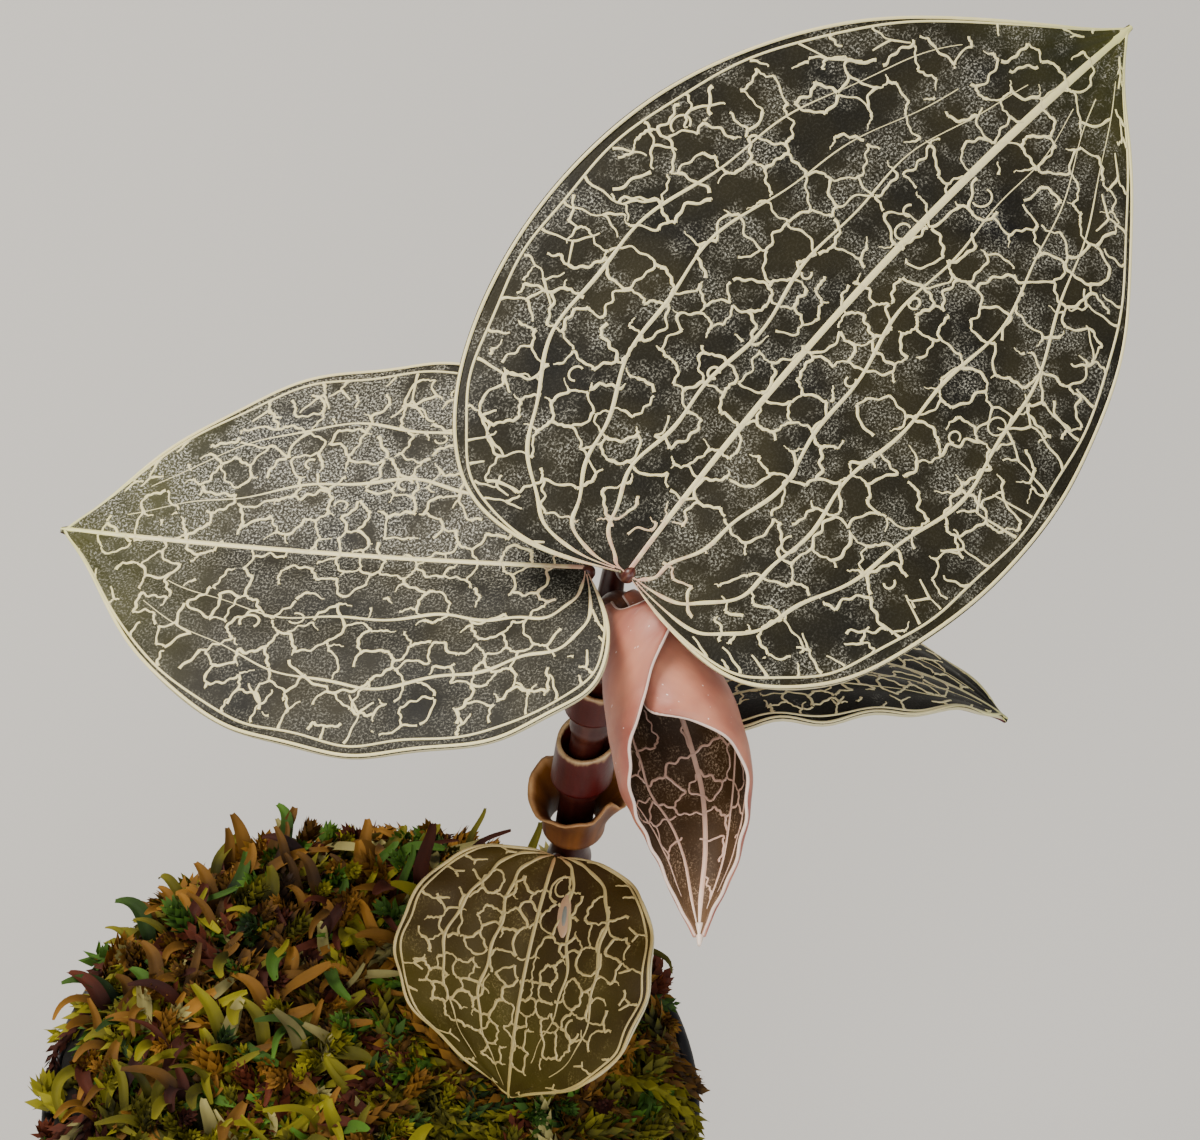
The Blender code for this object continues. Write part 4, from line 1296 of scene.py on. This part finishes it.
    def blade(self) -> None:
        """The rolled sheet with its pale edge."""
        solid = Solid()
        share, across = np.meshgrid(np.linspace(0, 1, self.rows + 1), np.linspace(-1, 1, self.columns + 1),
                                    indexing="ij")
        flat = np.stack([share * self.length, across * self.half_width(share, across > 0)], -1)
        solid.slab(self.points(share, across), self.normals(share, across), across, self.thickness, flat,
                   0.25 * (1 - np.abs(across)) - 0.05)
        piece = solid.build("young_leaf_roll", [YOUNG_TOP, YOUNG_BACK, YOUNG_EDGE], outward=True)
        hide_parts("leaf_young")

    def veins(self) -> None:
        """The rib, side ribs and net inside the roll."""
        draw = random.Random(self.seed)
        net = VeinNet(self, lift=self.thickness / 2, height=0.05)
        share = np.linspace(0.02, 0.985, 120)
        # Each rib's place across the roll, its width and where it ends
        for across, wide, last in ((0.0, 0.5, 0.985), (0.36, 0.3, 0.97), (0.7, 0.24, 0.86),
                                   (-0.4, 0.26, 0.9), (-0.72, 0.24, 0.84)):
            along = share * last
            wiggle = 0.03 * np.sin(9 * along + across * 9) if across else 0 * along
            width = wide * np.clip((last + 0.04 - along) * 6, 0.3, 1)
            net.line(along, across + wiggle, width, self.tone_at(along))
        seeds = []
        for _ in range(self.tries):
            p = np.array([draw.uniform(0, self.length), draw.uniform(-16, 16)])
            if all(np.sum((p - q) ** 2) > (2.0 * draw.uniform(0.7, 1.25)) ** 2 for q in seeds):
                seeds.append(p)
        for one, two in net_edges(np.array(seeds)):
            long = float(np.linalg.norm(two - one))
            if long < 0.4 or long > 6 or draw.random() > 0.72:
                continue
            t = np.linspace(0, 1, 12)
            side = np.array([-(two - one)[1], (two - one)[0]])
            kinks = sum(draw.uniform(-0.06, 0.06) * np.sin(n * math.pi * t) for n in (1, 2, 3, 5))
            path = one + t[:, None] * (two - one) + side * kinks[:, None]
            s = path[:, 0] / self.length
            c = path[:, 1] / np.maximum(self.half_width(np.clip(s, 0, 1), path[:, 1] > 0), 0.2)
            if s.min() < 0.06 or s.max() > 0.95 or np.abs(c).max() > 0.9:
                continue
            net.line(s, c, np.full(12, draw.uniform(0.16, 0.28)), self.tone_at(s))
        piece = net.solid.build("young_leaf_veins", [YOUNG_VEINS], weld=False)

    def tone_at(self, share: np.ndarray) -> np.ndarray:
        """The veins' shade, from dark at the base, which is painted shade on the roll's upper half, to pale
        past the middle.
        """
        return np.clip(share * 1.15 - 0.1, 0, 1)

    def edges(self) -> None:
        """The pale line along both edges, and the pointed tip."""
        solid = Solid()
        for across in (-1.0, 1.0):
            share = np.linspace(0.0, 1.0, 150)
            path = self.points(share, np.full_like(share, across))
            solid.tube(path, 0.13 * np.clip((1.03 - share) * 8, 0.45, 1), 10, 0, 0.5)
        point = self.path[-1] + unit(self.path[-1] - self.path[-6]) * 0.8
        close = self.points(np.array([0.95, 1.0]), np.zeros(2))
        solid.tube(smooth_path(np.vstack([close, point]), 12), np.linspace(0.46, 0.14, 12), 12, 0, 0.9)
        piece = solid.build("young_leaf_edges", [YOUNG_EDGE], outward=True)

    def stalk(self) -> None:
        """The short stalk down to the top of the stem."""
        solid = Solid()
        top = STEM_POINTS[-1]
        base, after = np.array(self.axis[0]), np.array(self.axis[1])
        route = [top + (0, 0, CLEARANCE + 0.35), top + (base - top) * 0.7, base + (after - base) * 0.35]
        radii = np.interp(np.linspace(0, 1, 30), [0, 0.5, 0.8, 1], [1.2, 1.4, 1.5, 1.25])
        solid.tube(smooth_path(route, 30), radii, 24, 0, (0.3, 0.9))
        piece = solid.build("young_leaf_stalk", [STALK], outward=True)

    def make(self) -> None:
        """Builds and dresses all of the rolled leaf."""
        self.blade()
        self.veins()
        self.edges()
        self.stalk()


# Moss and pot


class MossKind(Enum):
    """The kinds of moss in the mound: piece name, dark and bright colour, usual share of the shoots."""

    OLIVE = ("olive", "#1d1c02", "#857d12", 0.36)
    OCHRE = ("ochre", "#221203", "#8c6019", 0.32)
    GREEN = ("green", "#0e1a06", "#4b701c", 0.13)
    RUSSET = ("russet", "#160402", "#54220b", 0.15)
    STRAW = ("straw", "#3a3418", "#a59a5c", 0.04)

    def __init__(self, label: str, low: str, high: str, share: float) -> None:
        """Names what each kind's value holds."""
        self.label, self.low, self.high, self.share = label, low, high, share


@dataclass
class MossMound:
    """The moss that fills the pot: a heart dark with painted shade under layers of lying and standing
    shoots.
    """

    radius: float = 27.2
    pot_height: float = 48.0
    rise: float = 9.0
    roundness: float = 4.5
    dent: float = 2.4  # depth of the hollow under the low leaf
    dent_centre: tuple = (13.5, -1.5)
    inside: tuple = ((25.6, 47.0), (25.2, 40.0), (19.0, 3.0), (0.0, 3.0))  # the heart's corners in the pot
    shoots: int = 800  # how many are tried
    straps: int = 900  # how many broad leaves are tried
    start_gap: float = 3.6  # no shoot starts nearer to the stem's foot than this
    path_gap: float = 2.9  # and none passes it nearer than this
    strap_gap: float = 4.5  # the same for the broad leaves
    low_leaf_reach: float = 13.0  # fewer shoots stand up this near to the middle of the hollow
    strap_reach: float = 14.5  # and the broad leaves are short and flat this near to it
    seed: int = 11

    def height(self, x: np.ndarray, y: np.ndarray) -> np.ndarray:
        """Works out the mound's surface.

        Args:
            x: millimetres along X.
            y: millimetres along Y.

        Returns:
            The surface's height at each place, in millimetres.
        """
        share = np.minimum(1.0, np.hypot(x, y) / self.radius)
        away = np.hypot(x - self.dent_centre[0], y - self.dent_centre[1]) / 10
        lumps = 0.7 * np.sin(0.9 * x + 1.3) * np.sin(0.8 * y - 0.4) * (1 - share ** 6)
        dome = self.pot_height + 0.8 + self.rise * (1 - share ** self.roundness)
        return dome + lumps - self.dent * np.exp(-away ** 4)

    @staticmethod
    def from_stem(x: float | np.ndarray, y: float | np.ndarray) -> float | np.ndarray:
        """How far places are from the stem's foot, in millimetres."""
        return np.hypot(x - STEM_FOOT[0], y - STEM_FOOT[1])

    def from_dent(self, x: float, y: float) -> float:
        """How far a place is from the middle of the hollow, in millimetres."""
        return math.hypot(x - self.dent_centre[0], y - self.dent_centre[1])

    def heart(self) -> None:
        """The packed inside of the mound, near-black with painted shade where it shows between the shoots,
        with the hole for the stem.
        """
        solid = Solid()
        turn = np.linspace(0, 2 * math.pi, 120, endpoint=False)
        grid = []
        for radius in np.linspace(0, 1, 60) ** 0.7 * (self.radius - 0.4):
            x, y = radius * np.cos(turn), radius * np.sin(turn)
            z = self.height(x, y) - 0.8 + 0.25 * np.sin(3.1 * x) * np.sin(2.7 * y)
            z = z - 6.0 * np.exp(-(self.from_stem(x, y) / 2.9) ** 6)
            grid.append(np.stack([x, y, z], -1))
        for radius, level in self.inside:
            x, y = radius * np.cos(turn), radius * np.sin(turn)
            grid.append(np.stack([x, y, np.full_like(x, level)], -1))
        solid.sheet(np.array(grid), 0, None, 0.1, loop=True)
        # Near-black: painted shade in the gaps between the shoots
        finish = MossSkin("moss_heart_painted_shade", low="#080502", high="#1e1406")
        piece = solid.build("moss_heart_painted_shade", [finish], outward=True)
        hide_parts("moss")

    def shoot(self, solid: Solid, draw: random.Random, path: np.ndarray, thick: float, tone: float) -> None:
        """Adds one shoot: a thin thread hidden in rows of small pointed leaflets.

        Args:
            solid: what the shoot is added to.
            draw: the seeded chance that varies it.
            path: its centre line.
            thick: how far its leaflets stand out, in millimetres.
            tone: its own shade.
        """
        count = len(path)
        # The thread is darker where it starts, down in the mound: painted shade
        solid.tube(path, np.linspace(0.42, 0.14, count) * thick, 5, 0, (tone * 0.5, tone))
        tangents, sides, others = carried_frames(path, (0.3, 0.2, 0.9))
        leaflets = int(count * 3.4)
        place = np.linspace(0.02, 0.99, leaflets) * (count - 1)
        k = np.minimum(place.astype(int), count - 2)
        blend = (place - k)[:, None]
        at = path[k] * (1 - blend) + path[k + 1] * blend
        turn = np.arange(leaflets) * 2.4 + draw.uniform(0, 6)
        out = sides[k] * np.cos(turn)[:, None] + others[k] * np.sin(turn)[:, None]
        way = tangents[k]
        wide = np.cross(way, out)
        taper = np.interp(place / (count - 1), [0, 0.3, 0.85, 1], [0.75, 1.0, 0.8, 0.45])[:, None] * thick
        splay = np.array([draw.uniform(0.45, 0.8) for _ in range(leaflets)])[:, None]
        root = at + out * 0.2 * taper
        belly = at + way * 0.5 * taper + out * (0.35 + 0.25 * splay) * taper
        tip = at + way * 1.15 * taper + out * (0.4 + 0.75 * splay) * taper
        left, right = belly + wide * 0.3 * taper, belly - wide * 0.3 * taper
        points = np.stack([root, left, tip, right], 1).reshape(-1, 3)
        base = np.arange(leaflets) * 4
        faces = [(b, b + 1, b + 2) for b in base] + [(b, b + 2, b + 3) for b in base]
        # Each leaflet is darker at its root by the thread, which is painted shade, and paler at its tip
        shade = np.tile([tone * 0.55, tone, min(1.0, tone + 0.3), tone], leaflets)
        solid.extend(points, faces, 0, None, shade)

    def strap(self, solids: dict, draw: random.Random) -> None:
        """Adds one broad soft leaf that stands out of the mound and curls over, creased along its middle.

        Args:
            solids: the solid of each kind, one of which the leaf is added to.
            draw: the seeded chance that varies it.
        """
        turn, away = draw.uniform(0, 2 * math.pi), (self.radius - 3.0) * math.sqrt(draw.random())
        x, y = away * math.cos(turn), away * math.sin(turn)
        low_leaf = self.from_dent(x, y) < self.strap_reach
        if self.from_stem(x, y) < self.strap_gap:
            return
        heading, long = draw.uniform(0, 2 * math.pi), draw.uniform(3.2, 7.5) * (0.6 if low_leaf else 1)
        curl, swing = draw.uniform(0.7, 2.1), draw.uniform(-1.0, 1.0)
        count = 14
        t = np.linspace(0, 1, count)
        steep = draw.uniform(0.9, 1.4) * (0.35 if low_leaf else 1) - curl * t
        way = heading + swing * t + 0.35 * np.sin(5.5 * t + turn)
        step = long / (count - 1)
        flat_x = x + np.concatenate([[0], np.cumsum(np.cos(steep) * np.cos(way))[:-1]]) * step
        flat_y = y + np.concatenate([[0], np.cumsum(np.cos(steep) * np.sin(way))[:-1]]) * step
        shrink = np.minimum(1, (self.radius + 0.2) / np.maximum(np.hypot(flat_x, flat_y), 0.1))
        flat_x, flat_y = flat_x * shrink, flat_y * shrink
        ground = self.height(flat_x, flat_y)
        rise = np.concatenate([[0], np.cumsum(np.sin(steep))[:-1]]) * step - 0.6
        middle = np.stack([flat_x, flat_y, np.maximum(ground[0] + rise, ground - 0.3)], -1)
        side = np.stack([-np.sin(way), np.cos(way), 0.3 * np.sin(5 * t + turn)], -1)
        half = draw.uniform(0.3, 0.72) * (np.sin(math.pi * (0.14 + 0.8 * t)) ** 0.6)[:, None]
        lift = np.array([0.0, 0.0, 0.3]) * half
        grid = np.stack([middle - side * half + lift, middle - side * half * 0.45 - lift * 0.2,
                         middle - lift, middle + side * half * 0.45 - lift * 0.2,
                         middle + side * half + lift], 1)
        ochre = 0.5 + 0.5 * math.tanh((y + 2) / 9)
        kind = draw.choices(list(MossKind), (0.62 - 0.42 * ochre, 0.14 + 0.4 * ochre, 0.12, 0.12, 0.04))[0]
        # Darker towards its root, down among the other strands: painted shade
        tone = draw.uniform(0.35, 1.0) * (0.15 + 0.85 * t)
        solids[kind].sheet(grid, 0, None, np.broadcast_to(tone[:, None], grid.shape[:2]))

    def line(self, draw: random.Random, x: float, y: float) -> tuple[np.ndarray, float]:
        """Draws the line of one shoot, which lies on the mound or stands up from it.

        Args:
            draw: the seeded chance that varies it.
            x: where it starts, in millimetres along X.
            y: where it starts, in millimetres along Y.

        Returns:
            The points of its centre line, and how far its leaflets stand out.
        """
        standing = draw.random() < (0.1 if self.from_dent(x, y) < self.low_leaf_reach else 0.34)
        way = draw.uniform(0, 2 * math.pi)
        length = draw.uniform(3.4, 6.0) if standing else draw.uniform(5.0, 11.0)
        thick = draw.uniform(0.9, 1.6)
        bend = draw.uniform(-0.09, 0.09)
        count = 12
        step = length / (count - 1)
        pace = 0.45 if standing else 1.0
        upward = step * (0.75 * draw.uniform(0.5, 1.1)) if standing else 0.0
        points, rise = [], -0.5
        for _ in range(count):
            points.append((x, y, rise))
            x += step * math.cos(way) * pace
            y += step * math.sin(way) * pace
            rise += upward
            way += bend + draw.uniform(-0.12, 0.12)
        points = np.array(points)
        shrink = np.minimum(1, (self.radius + 0.3) / np.maximum(np.hypot(points[:, 0], points[:, 1]), 0.1))
        points[:, :2] *= shrink[:, None]
        if not standing:
            lay = draw.uniform(-0.3, 0.9)
            arch = 0.8 * draw.random() * np.sin(np.linspace(0, math.pi, count))
            points[:, 2] = lay + arch - np.linspace(0.9, 0.0, count)
        points[:, 2] += self.height(points[:, 0], points[:, 1])
        return points, thick

    def make(self) -> None:
        """Builds the heart and each kind of moss."""
        self.heart()
        draw = random.Random(self.seed)
        solids = {kind: Solid() for kind in MossKind}
        made = 0
        while made < self.shoots:
            turn = draw.uniform(0, 2 * math.pi)
            away = (self.radius - 0.8) * math.sqrt(draw.random())
            x, y = away * math.cos(turn), away * math.sin(turn)
            if self.from_stem(x, y) < self.start_gap:
                continue
            made += 1
            path, thick = self.line(draw, x, y)
            if self.from_stem(path[:, 0], path[:, 1]).min() < self.path_gap:
                continue
            ochre = 0.5 + 0.5 * math.tanh((y + 2) / 9)
            favour = {MossKind.OLIVE: 1.6 - 1.1 * ochre, MossKind.OCHRE: 0.35 + 1.3 * ochre}
            chance = [kind.share * favour.get(kind, 1.0) for kind in MossKind]
            kind = draw.choices(list(MossKind), chance)[0]
            self.shoot(solids[kind], draw, path, thick, draw.uniform(0.1, 0.95))
        for _ in range(self.straps):
            self.strap(solids, draw)
        for kind, solid in solids.items():
            name = "moss_" + kind.label
            piece = solid.build(name, [MossSkin(name, low=kind.low, high=kind.high)], weld=False)


@dataclass
class Pot:
    """A thin moulded nursery pot with a rolled rim, a flat foot and drain holes round a solid middle."""

    height: float = 48.0
    rim: float = 28.0
    foot: float = 20.5
    wall: float = 1.2
    lip: float = 1.0  # how far the rim's band stands out from the wall
    rim_depth: float = 5.0
    floor: float = 1.5
    holes: int = 6
    hole_radius: float = 2.4
    hole_circle: float = 13.0
    first_hole: float = 0.21  # radians round +Z from +X
    steps: int = 128
    crease: float = 38.0  # edges sharper than this, in degrees, are drawn sharp

    def profile(self) -> list[tuple[float, float]]:
        """Works out the wall's section, whose outer corners are broken by a few tenths of a millimetre.

        Returns:
            Radius and height of each corner, from the middle of the foot round to the middle of the floor.
        """
        slope = (self.rim - self.foot) / self.height
        under = self.rim - slope * self.rim_depth - self.lip
        inside = self.rim - self.wall
        top, belly = self.height, self.height - self.rim_depth
        return [(0, 0), (self.foot - 0.6, 0), (self.foot - 0.2, 0.15), (self.foot, 0.5),
                (under, belly - 0.2), (under + 0.15, belly), (under + self.lip - 0.2, belly + 0.2),
                (under + self.lip, belly + 0.5), (self.rim - 0.05, top - 0.8), (self.rim, top - 0.4),
                (self.rim - 0.25, top - 0.08), (self.rim - 0.5, top), (inside + 0.3, top),
                (inside + 0.05, top - 0.15), (inside, top - 0.4), (inside - 0.5, belly),
                (under - self.wall, belly - 0.8), (self.foot - self.wall, self.floor), (0, self.floor)]

    def make(self) -> None:
        """Spins the wall, then cuts the drain holes."""
        mesh = bpy.data.meshes.new("pot_wall")
        corners = [(r * MM, 0, z * MM) for r, z in self.profile()]
        mesh.from_pydata(corners, [(i, i + 1) for i in range(len(corners) - 1)], [])
        piece = bpy.data.objects.new("pot_wall", mesh)
        bpy.context.scene.collection.objects.link(piece)
        select_only(piece)
        bpy.ops.object.mode_set(mode="EDIT")
        bpy.ops.mesh.select_all(action="SELECT")
        bpy.ops.mesh.spin(steps=self.steps, angle=2 * math.pi, center=(0, 0, 0), axis=(0, 0, 1))
        bpy.ops.mesh.select_all(action="SELECT")
        bpy.ops.mesh.remove_doubles(threshold=0.01 * MM)
        bpy.ops.mesh.normals_make_consistent(inside=False)
        bpy.ops.object.mode_set(mode="OBJECT")
        for i in range(self.holes):
            turn = 2 * math.pi * i / self.holes + self.first_hole
            x, y = self.hole_circle * math.cos(turn), self.hole_circle * math.sin(turn)
            bpy.ops.mesh.primitive_cylinder_add(vertices=40, radius=self.hole_radius * MM, depth=8 * MM,
                                                location=(x * MM, y * MM, MM))
            drill = bpy.context.object
            select_only(piece)
            cut = piece.modifiers.new("drain", "BOOLEAN")
            cut.operation = "DIFFERENCE"
            cut.object = drill
            cut.solver = "EXACT"
            bpy.ops.object.modifier_apply(modifier=cut.name)
            bpy.data.objects.remove(drill, do_unlink=True)
        mesh = piece.data
        mesh.materials.clear()
        mesh.materials.append(MouldedPlastic("moulded_polypropylene").made())
        mesh.shade_smooth()
        mesh.set_sharp_from_angle(angle=math.radians(self.crease))
        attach(piece, "root")
        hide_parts("pot")
        log.info("pot_wall: %d faces", len(mesh.polygons))


def select_only(piece: bpy.types.Object) -> None:
    """Deselects everything, then selects one object and makes it active.

    Args:
        piece: the object.
    """
    for other in bpy.context.scene.objects:
        other.select_set(False)
    piece.select_set(True)
    bpy.context.view_layer.objects.active = piece


# Studio


@dataclass
class Studio:
    """Camera, floor and lights."""

    target: tuple = (19.5, 11.06, 105.6)
    distance: float = 350.0
    elevation: float = 50.0
    lens: float = 136.5

    def camera(self) -> None:
        """The camera at the photograph's angle."""
        tilt = math.radians(self.elevation)
        target = Vector(self.target) * MM
        data = bpy.data.cameras.new("camera")
        data.lens = self.lens
        data.sensor_width = 36
        data.sensor_fit = "HORIZONTAL"
        data.clip_start = 0.01
        camera = bpy.data.objects.new("camera", data)
        camera.location = target - Vector((0, math.cos(tilt), -math.sin(tilt))) * self.distance * MM
        camera.rotation_euler = (math.radians(90 - self.elevation), 0, 0)
        bpy.context.scene.collection.objects.link(camera)
        bpy.context.scene.camera = camera

    def floor(self) -> None:
        """A wide pale board under the pot."""
        bpy.ops.mesh.primitive_plane_add(size=6.0, location=(0, 0, 0))
        floor = bpy.context.object
        floor.name = "floor"
        floor.data.materials.append(StudioCard("studio_card").made())

    def light(self, name: str, place: tuple, size: float, power: float, colour: str) -> None:
        """Adds one soft box that faces the plant.

        Args:
            name: what the light is called.
            place: where it hangs, in metres.
            size: its side, in metres.
            power: its strength in watts.
            colour: its sRGB hex colour.
        """
        data = bpy.data.lights.new(name, "AREA")
        data.size = size
        data.energy = power
        data.color = linear(colour)[:3]
        lamp = bpy.data.objects.new(name, data)
        lamp.location = place
        lamp.rotation_euler = (Vector(self.target) * MM - Vector(place)).to_track_quat("-Z", "Y").to_euler()
        bpy.context.scene.collection.objects.link(lamp)

    def make(self) -> None:
        """Sets up the whole studio."""
        self.camera()
        self.floor()
        self.light("key", (-0.35, 0.25, 0.75), 0.35, 9.0, "#fffaf2")
        self.light("fill", (0.55, -0.45, 0.45), 0.6, 3.0, "#f2f6ff")
        self.light("front", (-0.1, -0.6, 0.5), 0.5, 3.5, "#ffffff")
        world = bpy.data.worlds.new("studio")
        world.use_nodes = True
        world.node_tree.nodes["Background"].inputs["Color"].default_value = linear("#dcdcdc")
        world.node_tree.nodes["Background"].inputs["Strength"].default_value = 0.35
        bpy.context.scene.world = world


# The plant


LEAVES = [
    OpenLeaf("leaf_top", BladeShape(
        base=(21.6, 9.9, 106.55), heading=53.9, pitch=15.7, roll=14.7,
        length=64.9, width=47.0, droop=0.171, arch=0.145, fold=0.111,
        twist=26.4, lobe=0.151, full=1.45, tip=5.7, sway=-0.092),
             sheath=(93.9, 96.3), petiole=((20.4, 15.4, 98.4), (20.9, 15.4, 102.0)),
             seed=3, rib=(0.42, 0.95), laterals=(0.2, 0.44, 0.68)),
    OpenLeaf("leaf_left", BladeShape(
        base=(18.4, 13.1, 103.3), heading=164.9, pitch=-14.5, roll=-6.9,
        length=45.1, width=37.5, droop=-0.085, arch=0.108, fold=0.154,
        twist=-1.3, lobe=0.287, full=1.55, tip=6.8, sway=-0.016),
             sheath=(88.0, 91.4), petiole=((16.9, 14.2, 93.4), (16.6, 15.4, 98.2)),
             seed=8, cell=2.3, rows=84, columns=64, rib=(0.5, 0.55), top=LIT_TOP),
    OpenLeaf("leaf_right", BladeShape(
        base=(22.8, 15.9, 83.3), heading=20.5, pitch=21.5, roll=-44.2,
        length=31.6, width=28.1, droop=1.147, arch=0.28, fold=0.175,
        twist=10.6, lobe=0.25, full=1.6, tip=6.0, sway=0.01),
             sheath=(79.4, 84.0), petiole=((19.9, 12.8, 83.0), (21.3, 14.3, 83.9)),
             seed=15, cell=2.2, rows=64, columns=52, top=SHADED_TOP),
    OpenLeaf("leaf_low", BladeShape(
        base=(15.85, 8.0, 72.4), heading=-107.9, pitch=-17.9, roll=7.9,
        length=21.3, width=23.3, droop=1.02, arch=-0.005, fold=0.111,
        twist=15.8, lobe=0.075, full=1.16, tip=7.6, sway=-0.041),
             sheath=(60.8, 67.0), petiole=((16.0, 7.0, 67.6), (15.8, 6.2, 70.4)),
             seed=22, cell=1.75, rows=56, columns=48, top=LOW_TOP, veins=LOW_VEINS, keep=0.78,
             rib=(0.4, 0.4), laterals=(0.3, 0.6), scar=(4.6, 2.4, 3.4, 1.25)),
]


def main() -> None:
    """Builds every piece in order."""
    Studio().make()
    Pot().make()
    MossMound().make()
    STEM.make()
    OldSheath(73.2, 78.0, mouth=1.9).make()
    for leaf in LEAVES:
        leaf.make()
    YoungLeaf().make()
    bpy.context.view_layer.update()


if __name__ == "__main__":
    main()
